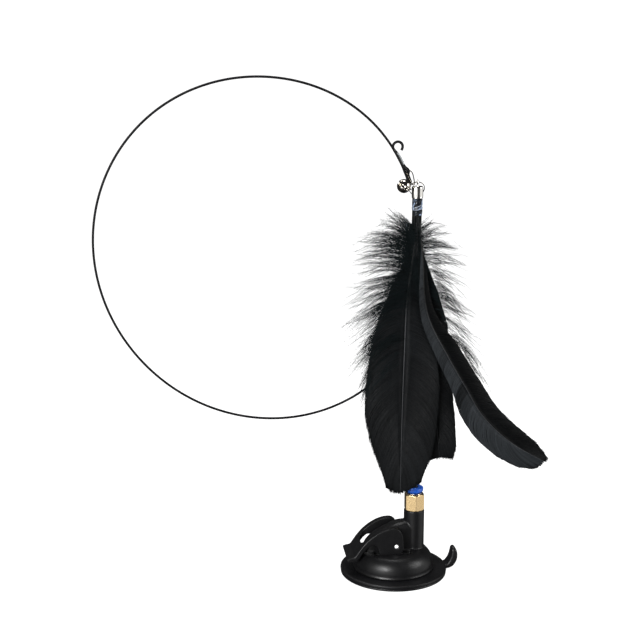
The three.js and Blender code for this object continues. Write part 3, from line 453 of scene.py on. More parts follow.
def seal_rubber(colour):
    """Plain matt rubber of the seal inside the fitting."""
    made = Surface("seal_rubber", colour, 0.6)
    made.rough(made.noise(1500), 0.5, 0.7)
    return made.material


def brass(colour):
    """Blasted brass: bright, grainy and warmer in its hollows."""
    made = Surface("brass", colour, 0.3, 1.0)
    grain = made.noise(2600, 4)
    made.tint(grain, 0.72, 1, 0.38, 0.62)
    made.rough(made.noise(1300, 4), 0.2, 0.36)
    made.bump(grain, 0.05 * MM, 0.8)
    return made.material


def nickel(colour):
    """Bright plating with faint waves."""
    made = Surface("nickel", colour, 0.12, 1.0)
    made.rough(made.noise(700, 4), 0.08, 0.2)
    made.bump(made.noise(500, 2), 0.02 * MM, 0.4)
    return made.material


def steel(colour):
    """Drawn steel with lengthwise scratches."""
    made = Surface("steel", colour, 0.25, 1.0)
    scratches = made.noise(900, 5, (6, 6, 0.4))
    made.rough(scratches, 0.16, 0.34)
    made.bump(scratches, 0.01 * MM, 0.4)
    return made.material


def pin_painted_highlight(colour):
    """Ends of the pin: dull steel, with a near-white base colour that is a painted highlight."""
    made = Surface("pin_painted_highlight", colour, 0.55, 0.25)
    made.rough(made.noise(1200, 4), 0.45, 0.65)
    made.bump(made.noise(1500, 3), 0.02 * MM, 0.4)
    return made.material


def blue_plastic(colour):
    """Glossy acetal of the release collar."""
    made = Surface("blue_plastic", colour, 0.28)
    made.rough(made.noise(900), 0.22, 0.36)
    made.tint(made.noise(260), 0.8, 1)
    made.bump(made.noise(2200), 0.01 * MM, 0.4)
    return made.material


def black_nylon(colour):
    """Extruded nylon: smooth, with fine lines along it."""
    made = Surface("black_nylon", colour, 0.34, Specular_IOR_Level=0.4)
    made.rough(made.noise(600), 0.26, 0.42)
    made.bump(made.noise(1800, 2, (3, 3, 0.3)), 0.01 * MM, 0.4)
    return made.material


def sleeve_painted_highlight(colour):
    """Thin smoky shrink film: black over the strands, with a painted highlight: a pale band along one side of
    the tube.
    """
    made = Surface("sleeve_painted_highlight", colour, 0.25, Specular_IOR_Level=0.5)
    made.rough(made.noise(800), 0.18, 0.34)
    made.tint(made.attribute("tone"), 0.03, 1, 0.1, 0.9)
    made.bump(made.noise(700), 0.03 * MM, 0.5)
    return made.material


def blacked_steel(colour):
    """Spring wire under a thin black coat."""
    made = Surface("blacked_steel", colour, 0.5, Specular_IOR_Level=0.08)
    made.rough(made.noise(500, 3), 0.42, 0.6)
    made.bump(made.noise(2400), 0.01 * MM, 0.4)
    return made.material


def clear_film(colour):
    """Wrapped film: see-through, wrinkled and glossy, with painted glints: pale blue patches laid out by
    noise.
    """
    made = Surface("clear_film", colour, 0.1, IOR=1.45, Alpha=0.42)
    made.rough(made.noise(600), 0.05, 0.2)
    # painted glints: the film is near black except in pale blue noise patches, which stand in for glints
    made.tint(made.noise(330, 4), 0.02, 1, 0.53, 0.64)
    made.bump(made.noise(420, 3), 0.35 * MM, 0.9)
    return made.material


def binding_cotton(colour):
    """Pale sewing thread with a twist."""
    made = Surface("thread", colour, 0.7)
    made.tint(made.noise(2600), 0.6, 1)
    made.bump(made.noise(5200), 0.04 * MM, 0.8)
    return made.material


def vane_black(colour):
    """Dyed vane: each barb has its own tone, at random and with painted light and shade that makes one vane
    of a feather lighter than the other, with a silky gloss.
    """
    made = Surface("vane", colour, 0.42, Specular_IOR_Level=0.07)
    made.tint(made.attribute("tone"), 0.2, 9, 0.0, 1.0)
    made.rough(made.noise(420, 3), 0.36, 0.56)
    return made.material


def web_black(colour):
    """What lies between and under the barbs: dull, with their lines in it."""
    made = Surface("vane_web", colour, 0.6, Specular_IOR_Level=0.06)
    made.tint(made.lines("line", 1300), 0.3, 2.6, 0.35, 0.75)
    made.bump(made.lines("line", 2600), 0.12 * MM, 0.8)
    made.rough(made.noise(300), 0.55, 0.75)
    return made.material


def down_black(colour):
    """Dyed down: dull, with a cold tint where it is thin."""
    made = Surface("down", colour, 0.6, Specular_IOR_Level=0.06)
    made.tint(made.attribute("tone"), 0.4, 2, 0.0, 1.0)
    made.rough(made.noise(300), 0.5, 0.75)
    return made.material


def black_quill(colour):
    """Dyed bare quills: glossy, with faint lengthwise lines."""
    made = Surface("black_quill", colour, 0.26, Specular_IOR_Level=0.11)
    made.tint(made.noise(900, 3, (3, 3, 0.2)), 0.5, 2)
    made.rough(made.noise(600), 0.15, 0.32)
    return made.material


def quill_grey(colour):
    """Horn of the quills: harder and lighter than the vane, and darker towards the root."""
    made = Surface("quill", colour, 0.3, Specular_IOR_Level=0.16)
    made.tint(made.attribute("tone"), 0.08, 1, 0.0, 1.0)
    made.rough(made.noise(700), 0.3, 0.45)
    return made.material


def white_floor(colour):
    """Seamless paper of the studio's floor and wall, lit through like a light tent."""
    made = Surface("studio_paper", colour, 0.9, Specular_IOR_Level=0.0, Emission_Strength=0.93)
    made.shader.inputs["Emission Color"].default_value = (1, 1, 1, 1)
    made.rough(made.noise(20), 0.85, 0.95)
    return made.material


# Settings that a user would change


def length(name, description, default, low=0.0):
    """A length in metres."""
    kept = {"unit": "LENGTH", "precision": 5, "min": low}
    return FloatProperty(name=name, description=description, default=default, **kept)


def paint(name, description, default):
    """A linear colour."""
    kept = {"subtype": "COLOR", "min": 0, "max": 1}
    return FloatVectorProperty(name=name, description=description, default=default, **kept)


class ToyColours(bpy.types.PropertyGroup):
    """Colours of the finishes."""

    plastic: paint("Plastic", "Moulded housing, lever and core", (0.0032, 0.0032, 0.0035))
    rubber: paint("Rubber", "Suction cup", (0.0032, 0.0032, 0.0036))
    seal: paint("Seal", "O-ring in the fitting", (0.02, 0.02, 0.02))
    brass: paint("Brass", "Fitting's hexagon", (0.79, 0.575, 0.3))
    nickel: paint("Nickel", "Clasp, ring, bell and cap", (0.8, 0.78, 0.74))
    steel: paint("Steel", "Spring and collet", (0.72, 0.72, 0.73))
    # near-white: a painted highlight on the pin's ends
    pin: paint("Pin", "Ends of the lever's pin", (0.9, 0.9, 0.9))
    collar: paint("Collar", "Release collar", (0.004, 0.064, 0.36))
    nylon: paint("Nylon", "End tube", (0.005, 0.005, 0.0055))
    wire: paint("Wire", "Coat of the spring wire", (0.003, 0.003, 0.0035))
    # the sleeve's colour is that of the highlight painted along one side of the upper sleeve
    sleeve: paint("Sleeve", "Shrink film over the fold", (0.17, 0.18, 0.185))
    # the film's colour is that of its painted glints
    film: paint("Film", "Film round the quills", (0.36, 0.46, 0.64))
    thread: paint("Thread", "Thread wound on the film", (0.4, 0.45, 0.55))
    vane: paint("Vane", "Feathers", (0.0032, 0.0036, 0.004))
    down: paint("Down", "Fluffy barbs", (0.0025, 0.0044, 0.005))
    quill: paint("Quill", "Shafts of the feathers", (0.045, 0.047, 0.05))
    bell_metal: paint("Bell", "Plating of the bell", (0.34, 0.32, 0.28))
    ring_metal: paint("Ring", "Plating of the clasp and the split ring", (0.12, 0.105, 0.085))
    paper: paint("Paper", "Floor and wall of the studio", (0.24, 0.24, 0.24))


class ToySizes(bpy.types.PropertyGroup):
    """Sizes of the moulded parts and their rounding."""

    housing_cell: length("Housing grain", "Cell that the housing's surface is rebuilt on", 0.4 * MM, 0.2 * MM)
    lever_cell: length("Lever grain", "Cell that the lever's surface is rebuilt on", 0.32 * MM, 0.2 * MM)
    metal_cell: length("Metal grain", "Cell that the fitting and bell are rebuilt on", 0.13 * MM, 0.08 * MM)
    cup_edge: length("Cup edge", "Rounding of the cup's corners", 0.45 * MM)
    wire_radius: length("Wire radius", "Half the spring wire's thickness", 0.7 * MM)


class ToyFeathers(bpy.types.PropertyGroup):
    """How full the feathers are."""

    pitch: length("Barb pitch", "Distance between barbs along a shaft", 0.33 * MM, 0.1 * MM)
    guides: IntProperty(name="Tufts", description="Tufts of down on each side", default=78, min=10)
    hairs: IntProperty(name="Hairs", description="Barbs in each tuft of down", default=10, min=1)


# Suction cup


CUP_RADIUS = 32.5 * MM
SEAL_IN = 28.1 * MM  # inner edge of the flat ring that seals
HOLLOW = 2 * MM  # height of the cup's hollow at its middle
WEB_IN, WEB_OUT, WEB_TOP, WEB_SECTORS = 14 * MM, 20 * MM, 3.2 * MM, 8
CUP_GAP = 0.02 * MM  # between two pieces of the cup
# The pull tab: its line in millimetres, out from the axis and up, and its width and thickness along it
TAB_LINE = [[30.5, 2.1], [32.6, 2.3], [35.5, 3.9], [37.4, 7.3], [37.8, 10.8], [37.2, 14.1]]
TAB_WIDTH = [[0, 1.05], [0.35, 1], [0.7, 0.97], [0.86, 0.88], [0.95, 0.7], [1, 0.42]]
TAB_THICKNESS = [[0, 1], [0.15, 1.4], [0.33, 2.1], [0.55, 2.25], [0.78, 1.85], [0.93, 1.3], [1, 0.7]]


def web_under(radius):
    """How high the cup's hollow is at this radius: it falls straight from its middle to the sealing ring."""
    return HOLLOW * (SEAL_IN - radius) / (SEAL_IN - WEB_IN)


def web_sector(number):
    """One sector of the web between the cup's middle and its rim: a section with as many points above as
    below, carried round by the sector's angle."""
    stations, points = 13, 9
    turn = (number + np.linspace(0, 1, stations))[:, None] * 2 * math.pi / WEB_SECTORS
    out = np.linspace(WEB_IN, WEB_OUT - CUP_GAP, points)
    radius = np.append(out, out[::-1])[None]
    height = np.append(web_under(out), np.full(points, WEB_TOP))
    x, y = radius * np.cos(turn), radius * np.sin(turn)
    return np.stack([x, y, np.broadcast_to(height, x.shape)], axis=-1)


def rim_profile():
    """The section of the cup's rim, from its hollow round the edge to the step where the housing sits."""
    top, groove = 3.6 * MM, CUP_RADIUS - 0.9 * MM
    return [
        [WEB_OUT, web_under(WEB_OUT)],
        [SEAL_IN, 0],
        [groove, 0],
        [CUP_RADIUS - 0.2 * MM, 0.4 * MM],
        [CUP_RADIUS - 0.2 * MM, 1.4 * MM],
        [groove, 1.65 * MM],
        [CUP_RADIUS, 1.9 * MM],
        [CUP_RADIUS, top - 0.4 * MM],
        [CUP_RADIUS - 0.4 * MM, top],
        [20.5 * MM, top],
        [WEB_OUT, top - 0.4 * MM],
    ]


def middle_profile():
    """The section of the cup's middle, which the core lifts: its floor, its boss and the core's pocket."""
    stem, pocket, boss = 3.9 * MM, 11.85 * MM, 13.2 * MM
    floor, ceiling, top = 2.8 * MM, 4.6 * MM, 5.4 * MM
    return [
        [AXIS_GAP, HOLLOW],
        [WEB_IN - CUP_GAP, HOLLOW],
        [WEB_IN - CUP_GAP, WEB_TOP],
        [boss, WEB_TOP],
        [boss, top],
        [stem, top],
        [stem, ceiling],
        [pocket, ceiling],
        [pocket, floor],
        [AXIS_GAP, floor],
    ]


def pull_tab():
    """A tongue carried out and up along a cubic: its section is a superellipse whose width and thickness
    follow two tables of shares."""
    stations, aside = 60, 2 * DEGREE
    half_width, half_thick = 4.25 * MM, 1.1 * MM
    out, high = evenly(curve_through(TAB_LINE, 12) * MM, stations).T
    share = np.linspace(0, 1, stations)
    tilt = np.arctan2(np.gradient(high), np.gradient(out))
    radial = np.array([math.cos(aside), math.sin(aside), 0])
    across = np.array([-math.sin(aside), math.cos(aside), 0])
    middle = out[:, None] * radial + high[:, None] * Z_AXIS
    normal = -np.sin(tilt)[:, None] * radial + np.cos(tilt)[:, None] * Z_AXIS
    cosine, sine = np.cos(full_turn(28)), np.sin(full_turn(28))
    wide = table(TAB_WIDTH, share, 1)[:, None] * np.sign(cosine) * np.abs(cosine) ** 0.45 * half_width
    tall = table(TAB_THICKNESS, share, 1)[:, None] * np.sign(sine) * np.abs(sine) ** 0.6 * half_thick
    return middle[:, None] + wide[..., None] * across + tall[..., None] * normal[:, None]


class TOY_OT_suction_cup(bpy.types.Operator):
    """Make the rubber cup with its rim, groove and pull tab"""

    bl_idname = "toy.suction_cup"
    bl_label = "Suction cup"

    def execute(self, context):
        sizes, colours = context.scene.toy_sizes, context.scene.toy_colours
        rubber = cup_rubber(colours.rubber)
        profile = rounded(rim_profile(), sizes.cup_edge, 5, closed=True)
        disc = skin("cup_disc", turned(profile, 160), ring=True)
        tab = skin("cup_tab", pull_tab())
        cup = join("suction_cup_rubber", [disc, tab])
        place(cup, "base", "cup_rubber", rubber, "suction_cup")
        middle = skin("cup_middle", turned(rounded(middle_profile(), 0.05 * MM, 3), 120))
        place(middle, "stud", "cup_rubber", rubber)
        for number in range(WEB_SECTORS):
            web = skin(f"cup_web_{number + 1}", web_sector(number))
            web.data.materials.append(rubber)
            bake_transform(web)
        return {"FINISHED"}


# Housing


HOUSING_FOOT = 3.7 * MM  # height of its underside, on the cup's rim
DOME_SHARES = [[1, 0.3], [0.985, 0.47], [0.95, 0.64], [0.893, 0.8], [0.83, 0.91], [0.73, 0.972], [0.6, 1]]
TURRET_SHARES = [
    [0, 0.55, 0.74],
    [0.03, 0.6, 0.88],
    [0.08, 0.655, 0.96],
    [0.16, 0.726, 1],
    [0.285, 0.806, 1],
    [0.39, 0.86, 1],
    [0.5, 0.912, 1],
    [0.61, 0.965, 0.985],
    [0.7, 0.987, 0.95],
    [0.8, 1, 0.88],
    [1, 1, 0.8],
]


def dome():
    """The dome's profile carried round Z: a flared foot, then a cubic through the dome's shares."""
    foot, top, radius = HOUSING_FOOT, 15.8 * MM, 24.2 * MM
    flange = radius + 0.5 * MM
    crown = curve_through([[r * radius, foot + h * (top - foot)] for r, h in DOME_SHARES], 5)
    skirt = [[AXIS_GAP, foot], [flange, foot], [flange, foot + 0.8 * MM], [radius, foot + 1.3 * MM]]
    profile = np.vstack([rounded(skirt, 0.2 * MM, 4), crown, [[AXIS_GAP, top]]])
    return skin("dome", turned(profile, 144))


def turret():
    """A ridge lofted along X: its section is a wall, a quarter circle and a flat top, with the height and
    width following a cubic through the shares."""
    start, rise, half, corner, floor = -18.4 * MM, 33 * MM, 6.9 * MM, 4.4 * MM, 12.95 * MM
    stations = curve_through(np.array(TURRET_SHARES) * [post_x - start, rise, half], 6)
    along, high, wide = (stations[:, [i]] for i in range(3))
    turn = np.linspace(0, math.pi / 2, 12)
    y = wide - corner * (1 - np.cos(turn))
    z = high - corner * (1 - np.sin(turn))
    low = np.full_like(high, floor)
    around_y = np.hstack([-wide, wide, y, -y[:, ::-1]])
    around_z = np.hstack([low, low, z, z[:, ::-1]])
    around_x = np.broadcast_to(start + along, around_y.shape)
    return skin("turret", np.stack([around_x, around_y, around_z], axis=-1))


def post():
    """The upright post, with a rounded rim."""
    low, top, radius = 13.2 * MM, 39.8 * MM, 6.25 * MM
    profile = rounded([[AXIS_GAP, low], [radius, low], [radius, top], [AXIS_GAP, top]], 0.4 * MM, 5)
    return skin("post", turned(profile, 96, (post_x, 0)))


def housing_cuts():
    """What the moulding leaves out: its hollow, the cams' flats, and the bores of stem, pin and shank."""
    foot, ceiling, radius = HOUSING_FOOT, 12.3 * MM, 22.2 * MM
    shares = [[1, 0.5], [0.945, 0.78], [0.87, 0.95], [0.79, 1]]
    vault = [[r * radius, foot + h * (ceiling - foot)] for r, h in shares]
    hollow = [[AXIS_GAP, 1 * MM], [radius, 1 * MM], *vault, [AXIS_GAP, ceiling]]
    cuts = [skin("hollow", turned(hollow, 96))]
    flat_back, flat_front, flat_in, flat_out = -13 * MM, 9.2 * MM, 6.9 * MM, 12.4 * MM
    for sign in (-1, 1):
        near, far = sorted([sign * flat_in, sign * flat_out])
        outline = [[flat_back, near], [flat_front, near], [flat_front, far], [flat_back, far]]
        cuts.append(skin("flat", prism(outline, 13.6 * MM, 18 * MM, "xy")))
    cuts.append(skin("stem", column(3.9 * MM, 3 * MM, 24.6 * MM, 48)))
    half, low, high = 1.45, 16.75, 21.75  # the pin's slot, in millimetres
    slot = rounded([[-half, low], [half, low], [half, high], [-half, high]], 1.4, 6, True) * MM
    cuts.append(skin("slot", prism(slot, -9 * MM, 9 * MM, "xz")))
    cuts.append(skin("socket", column(4.15 * MM, 31.2 * MM, 45 * MM, 64, (post_x, 0))))
    return cuts


class TOY_OT_housing(bpy.types.Operator):
    """Make the moulded dome, turret and post as one softened shell"""

    bl_idname = "toy.housing"
    bl_label = "Housing"

    def execute(self, context):
        colours = context.scene.toy_colours
        shell = dome()
        combine(shell, [turret(), post()], "UNION")
        combine(shell, housing_cuts(), "DIFFERENCE")
        softened(shell, context.scene.toy_sizes.housing_cell, 5)
        shell.name = "housing_shell"
        place(shell, "base", "black_plastic", black_plastic(colours.plastic), "housing")
        return {"FINISHED"}


# Lever, its pin and what is inside the cup


LEVER_TOP_SHARES = [
    [-1.012, -0.243],
    [-0.93, -0.218],
    [-0.862, -0.203],
    [-0.805, -0.131],
    [-0.748, -0.047],
    [-0.658, 0.067],
    [-0.52, 0.198],
    [-0.419, 0.268],
    [-0.319, 0.322],
    [-0.218, 0.359],
    [-0.117, 0.379],
    [-0.017, 0.376],
    [0.054, 0.339],
    [0.098, 0.279],
    [0.126, 0.201],
    [0.134, 0.114],
]
LEVER_LOW_SHARES = [
    [-0.117, -0.208],
    [-0.255, -0.206],
    [-0.322, -0.181],
    [-0.349, -0.111],
    [-0.376, -0.023],
    [-0.423, 0.037],
    [-0.507, 0.044],
    [-0.587, -0.01],
    [-0.668, -0.091],
    [-0.748, -0.208],
    [-0.812, -0.282],
    [-0.872, -0.305],
    [-0.992, -0.306],
]


def lever_outline():
    """The lever's side view round its pin: curves through the shares, and a cam whose radius falls evenly
    through a quarter turn."""
    reach, cam_low, cam_drop = 29.8 * MM, 6.25 * MM, 2 * MM
    turn = np.linspace(math.pi / 2, 0, 24)
    radius = cam_low - cam_drop * turn / (math.pi / 2)
    cam = np.stack([radius * np.sin(turn), -radius * np.cos(turn)], axis=1)
    top = curve_through(np.array(LEVER_TOP_SHARES) * reach, 4)
    low = curve_through(np.array(LEVER_LOW_SHARES) * reach, 4)
    return np.vstack([top, cam, low]) + [0, pin_z]


def lever_slot():
    """The gap between the lever's arms, seen from above, with rounded inner corners."""
    end, half, mouth = -20.6 * MM, 7.35 * MM, 30 * MM
    outline = [[mouth, -half], [mouth, half], [end, half], [end, -half]]
    return rounded(outline, [0.1 * MM, 0.1 * MM, 4.5 * MM, 4.5 * MM], 8, True)


class TOY_OT_lever(bpy.types.Operator):
    """Make the locking lever: a yoke with a thumb tab and two cams"""

    bl_idname = "toy.lever"
    bl_label = "Lever"

    def execute(self, context):
        half = 12 * MM
        yoke = skin("yoke", prism(lever_outline(), -half, half, "xz"))
        slot = skin("slot", prism(lever_slot(), pin_z - 30 * MM, pin_z + 30 * MM, "xy"))
        bore = skin("bore", crossbar(1.45 * MM, 14 * MM, 40, 0, pin_z))
        combine(yoke, [slot, bore], "DIFFERENCE")
        softened(yoke, context.scene.toy_sizes.lever_cell, 4)
        yoke.name = "lever_yoke"
        material = black_plastic(context.scene.toy_colours.plastic)
        place(yoke, "lever", "black_plastic", material, "lever")
        return {"FINISHED"}


class TOY_OT_pin_and_core(bpy.types.Operator):
    """Make the pin, and finish the core, the return spring and the fitting's inner parts"""

    bl_idname = "toy.pin_and_core"
    bl_label = "Pin and core"

    def execute(self, context):
        colours = context.scene.toy_colours
        bright = steel(colours.steel)
        half, radius, pole = pin_high.y, 1.12 * MM, 0.02 * MM
        profile = [[pole, -half], [radius, -half], [radius, half], [pole, half]]
        rows = turned(rounded(profile, 0.5 * MM, 6), 40)
        pin = skin("lever_pin_steel", np.stack([rows[..., 0], rows[..., 2], pin_z - rows[..., 1]], axis=-1))
        place(pin, "stud", "steel", pin_painted_highlight(colours.pin), "lever_pin")
        dress("cup_core", black_plastic(colours.plastic), 0.15 * MM)
        dress("return_spring", bright)
        dress("tube_seal", seal_rubber(colours.seal))
        dress("tube_collet", bright)
        return {"FINISHED"}


# Fitting


# Profiles in millimetres: the hexagon's chamfers, its shank, and the bore through both
HEXAGON_LIMITS = np.array([[0.05, 39.9], [5.9, 39.9], [6.47, 40.5], [6.47, 48.9], [5.37, 50], [0.05, 50]])
SHANK = np.array([[0.05, 31.5], [4, 31.5], [4, 41.9], [0.05, 41.9]])
BORE = np.array([[0.05, 29], [1.2, 29], [1.2, 36], [2.15, 36], [2.15, 43], [3.7, 43], [3.7, 52], [0.05, 52]])


def hexagon(cell):
    """The brass body: a hexagon turned to its chamfers, with a round shank, and bored in steps."""
    centre = (post_x, 0)
    flats, low, high = 11.2 * MM, 39.9 * MM, 50 * MM
    corner = flats / 2 / math.cos(30 * DEGREE)
    turn = np.arange(6) * 60 * DEGREE + 30 * DEGREE
    outline = np.stack([post_x + corner * np.cos(turn), corner * np.sin(turn)], axis=1)
    body = skin("hexagon", prism(outline, low, high, "xy"))
    combine(body, [skin("limits", turned(HEXAGON_LIMITS * MM, 128, centre))], "INTERSECT")
    combine(body, [skin("shank", turned(rounded(SHANK * MM, 0.4 * MM), 64, centre))], "UNION")
    combine(body, [skin("bore", turned(BORE * MM, 64, centre))], "DIFFERENCE")
    softened(body, cell, 2)
    body.name = "brass_hexagon"
    return body


def seat_profile():
    """The section of the bright ring between the hexagon and the collar: a sleeve with a thin flange."""
    inner, outer, flange = 3.15 * MM, 3.55 * MM, 4.7 * MM
    low, high = seat_low.z, seat_high.z
    under = high - 0.4 * MM
    return [[inner, low], [outer, low], [outer, under], [flange, under], [flange, high], [inner, high]]


def collar_profile():
    """The section of the release collar: a neck in the hexagon, and a wide head with a softened edge."""
    bore, neck, radius = 2.15 * MM, 2.7 * MM, 5.45 * MM
    low, step, top = collar_low.z, collar_low.z + 4 * MM, collar_high.z - 1.1 * MM
    return [
        [bore, low],
        [neck, low],
        [neck, step],
        [radius - 0.6 * MM, step],
        [radius - 0.1 * MM, step + 0.5 * MM],
        [radius, top - 1.2 * MM],
        [radius, top - 0.6 * MM],
        [radius - 0.6 * MM, top],
        [bore + 0.5 * MM, top],
        [bore, top - 0.5 * MM],
    ]


class TOY_OT_fitting(bpy.types.Operator):
    """Make the brass hexagon, its bright ring and the blue release collar"""

    bl_idname = "toy.fitting"
    bl_label = "Fitting"

    def execute(self, context):
        colours, sizes = context.scene.toy_colours, context.scene.toy_sizes
        centre = (post_x, 0)
        place(hexagon(sizes.metal_cell), "base", "brass", brass(colours.brass), "fitting_body")
        rows = turned(rounded(seat_profile(), 0.1 * MM, 4, True), 96, centre)
        seat = skin("bright_seat_ring", rows, ring=True)
        place(seat, "base", "nickel", nickel(colours.nickel), "fitting_seat_ring")
        rows = turned(rounded(collar_profile(), 0.35 * MM, 5, True), 96, centre)
        collar = skin("blue_collar", rows, ring=True)
        place(collar, "collar", "blue_plastic", blue_plastic(colours.collar), "release_collar")
        return {"FINISHED"}


# Spring wire, with its fold, eye and curl


CLIMB = 39.8 * MM  # the straight rise out of the tube
CORNER_TURN, CORNER_RADIUS, CORNER_STEPS = 128.3 * DEGREE, 16.79 * MM, 12
LOOP_LENGTH, LOOP_STEPS = 462 * MM, 78
LOOP_RADII = np.array([85.7, 100.5, 109.9, 98.6, 91, 99.3, 79]) * MM  # at even distances along the loop
TIP_LENGTH, TIP_TURN, TIP_STEPS = 22.3 * MM, -13 * DEGREE, 36
STRAND_SPACING = 1.12 * MM
EYE_START = 0.585 * TIP_LENGTH
EYE_LENGTH = 5.6 * MM
EYE_OPENING = 1.9 * MM
FOLD_ROLL = 45 * DEGREE
CURL_AT = 1.4 * MM
CURL_RADIUS, CURL_TURN, CURL_STEPS = 2.7 * MM, -236 * DEGREE, 16
WIRE_FORWARD = 9.6 * MM
TIP_COAT, EYE_COAT = 0.06 * MM, 0.15 * MM


def bent(start, heading, turns, step):
    """Points of a run in the XZ plane: each step turns by its share, and goes ahead along the heading
    halfway through its turn. Gives the points and the headings after each step."""
    after = heading + np.cumsum(turns)
    middle = after - turns / 2
    x = start[0] + np.cumsum(step * np.cos(middle))
    z = start[1] + np.cumsum(step * np.sin(middle))
    return np.stack([x, z], axis=1), after


class WireRoute:
    """The route of the spring wire: straight up out of the tube, over a bend, round the loop, and folded
    back beside itself at the tip."""

    def __init__(self):
        top = tube_high.z
        insert = 16 * MM
        straight = np.array([[post_x, top - insert], [post_x, top - insert / 2], [post_x, top]])
        climb = np.stack([np.full(9, post_x), np.linspace(top, top + CLIMB, 10)[1:]], axis=1)
        turns = np.full(CORNER_STEPS, CORNER_TURN / CORNER_STEPS)
        corner, heads = bent(climb[-1], math.pi / 2, turns, CORNER_RADIUS * CORNER_TURN / CORNER_STEPS)
        stations = np.arange(len(LOOP_RADII))
        middle_of_step = (np.arange(LOOP_STEPS) + 0.5) / LOOP_STEPS * stations[-1]
        curve = np.interp(middle_of_step, stations, 1 / LOOP_RADII)
        step = LOOP_LENGTH / LOOP_STEPS
        loop, loop_heads = bent(corner[-1], heads[-1], -step * curve, step)
        share = (np.arange(LOOP_STEPS) + 1) / LOOP_STEPS
        lean = -WIRE_FORWARD * smoothstep((share - 0.55) / 0.45)
        flat = np.vstack([straight, climb, corner])
        before = np.stack([flat[:, 0], np.zeros(len(flat)), flat[:, 1]], axis=1)
        sweep = np.stack([loop[:, 0], lean, loop[:, 1]], axis=1)
        self.tip_start, self.tip_heading = loop[-1], loop_heads[-1]
        turns = np.full(TIP_STEPS, TIP_TURN / TIP_STEPS)
        tip, tip_heads = bent(self.tip_start, self.tip_heading, turns, TIP_LENGTH / TIP_STEPS)
        self.tip = np.vstack([self.tip_start, tip])
        self.heads = np.concatenate([[self.tip_heading], tip_heads])
        fold = self.on_tip(TIP_LENGTH * np.arange(1, 10) / 9, 0, 0)
        turn = math.pi * np.arange(1, 6) / 6
        past = STRAND_SPACING / 2 * np.sin(turn)
        reach = STRAND_SPACING / 2 * (1 - np.cos(turn))
        nose = self.on_tip(TIP_LENGTH + past, reach * math.cos(FOLD_ROLL), reach * math.sin(FOLD_ROLL))
        tail = self.beside(np.linspace(TIP_LENGTH, CURL_AT, 31), 1)
        curl = self.curl(tail[-1])
        self.tip_index = len(before) + len(sweep)
        self.path = np.vstack([before, sweep, fold, nose, tail, curl])

    def on_tip(self, along, side, front):
        """A place on the tip: how far along, how far to the tail's side and how far in front."""
        along = np.asarray(along, float)
        held = np.clip(along, 0, TIP_LENGTH)
        at = held / TIP_LENGTH * TIP_STEPS
        places = np.arange(TIP_STEPS + 1)
        heading = np.interp(at, places, self.heads)
        past = along - held
        x = np.interp(at, places, self.tip[:, 0]) + past * np.cos(heading) - side * np.sin(heading)
        z = np.interp(at, places, self.tip[:, 1]) + past * np.sin(heading) + side * np.cos(heading)
        return np.stack([x, -WIRE_FORWARD - front + 0 * x, z], axis=-1)

    def spread(self, along):
        """Distance between the strand and its tail, with a sine-squared bulge at the eye."""
        bulge = np.sin(math.pi * np.clip((along - EYE_START) / EYE_LENGTH, 0, 1)) ** 2
        return STRAND_SPACING + 1.4 * MM * bulge

    def beside(self, along, share, spread=None):
        """A place between the strand and its tail, which rolls round to the front towards its end."""
        along = np.asarray(along, float)
        wide = self.spread(along) if spread is None else spread
        roll = FOLD_ROLL + (math.pi / 2 - FOLD_ROLL) * smoothstep(1 - (along - CURL_AT) / (2 * CURL_RADIUS))
        return self.on_tip(along, share * wide * np.cos(roll), share * wide * np.sin(roll))

    def curl(self, start):
        """The open curl at the wire's end, which comes forward over its first half."""
        turns = np.full(CURL_STEPS, CURL_TURN / CURL_STEPS)
        step = -CURL_RADIUS * CURL_TURN / CURL_STEPS
        points, heads = bent(start[[0, 2]], self.tip_heading + math.pi, turns, step)
        straight_end = 1.2 * MM * np.array([math.cos(heads[-1]), math.sin(heads[-1])])
        points = np.vstack([points, points[-1] + straight_end])
        forward = 1 * MM * smoothstep(2 * np.arange(1, CURL_STEPS + 2) / CURL_STEPS)
        return np.stack([points[:, 0], start[1] - forward, points[:, 1]], axis=1)


route = WireRoute()
eye = route.beside(EYE_START + EYE_LENGTH / 2, 1, 0.5 * MM + EYE_OPENING / 2)


class TOY_OT_wire(bpy.types.Operator):
    """Make the spring wire and the tube on its end"""

    bl_idname = "toy.wire"
    bl_label = "Spring wire"

    def execute(self, context):
        colours = context.scene.toy_colours
        pieces = 4
        path = curve_through(route.path, pieces)
        past = np.arange(len(path)) / pieces - route.tip_index
        # The coat is thicker on the tip, and more so round its eye, between these of the route's points
        first, last = 4, 29
        coat = TIP_COAT * smoothstep(past / 2)
        coat = coat + EYE_COAT * smoothstep((past - first) / 1.5) * smoothstep((last - past) / 2)
        radius = context.scene.toy_sizes.wire_radius + coat
        wire = skin("blacked_spring_wire", tube(path, radius, 14, Y_AXIS))
        wire.data.materials.append(blacked_steel(colours.wire))
        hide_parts("spring_wire")
        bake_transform(wire)
        radius, bore = 2 * MM, 0.75 * MM
        low, top = tube_low.z, tube_high.z
        bottom = top - 16.3 * MM
        outside = [[AXIS_GAP, low], [radius, low], [radius, top]]
        inside = [[bore, top], [bore, bottom], [AXIS_GAP, bottom]]
        rows = turned(rounded(outside + inside, 0.25 * MM), 64, (post_x, 0))
        sleeve = skin("nylon_end_tube", rows)
        place(sleeve, "end_tube", "black_nylon", black_nylon(colours.nylon), "wire_end_tube")
        return {"FINISHED"}


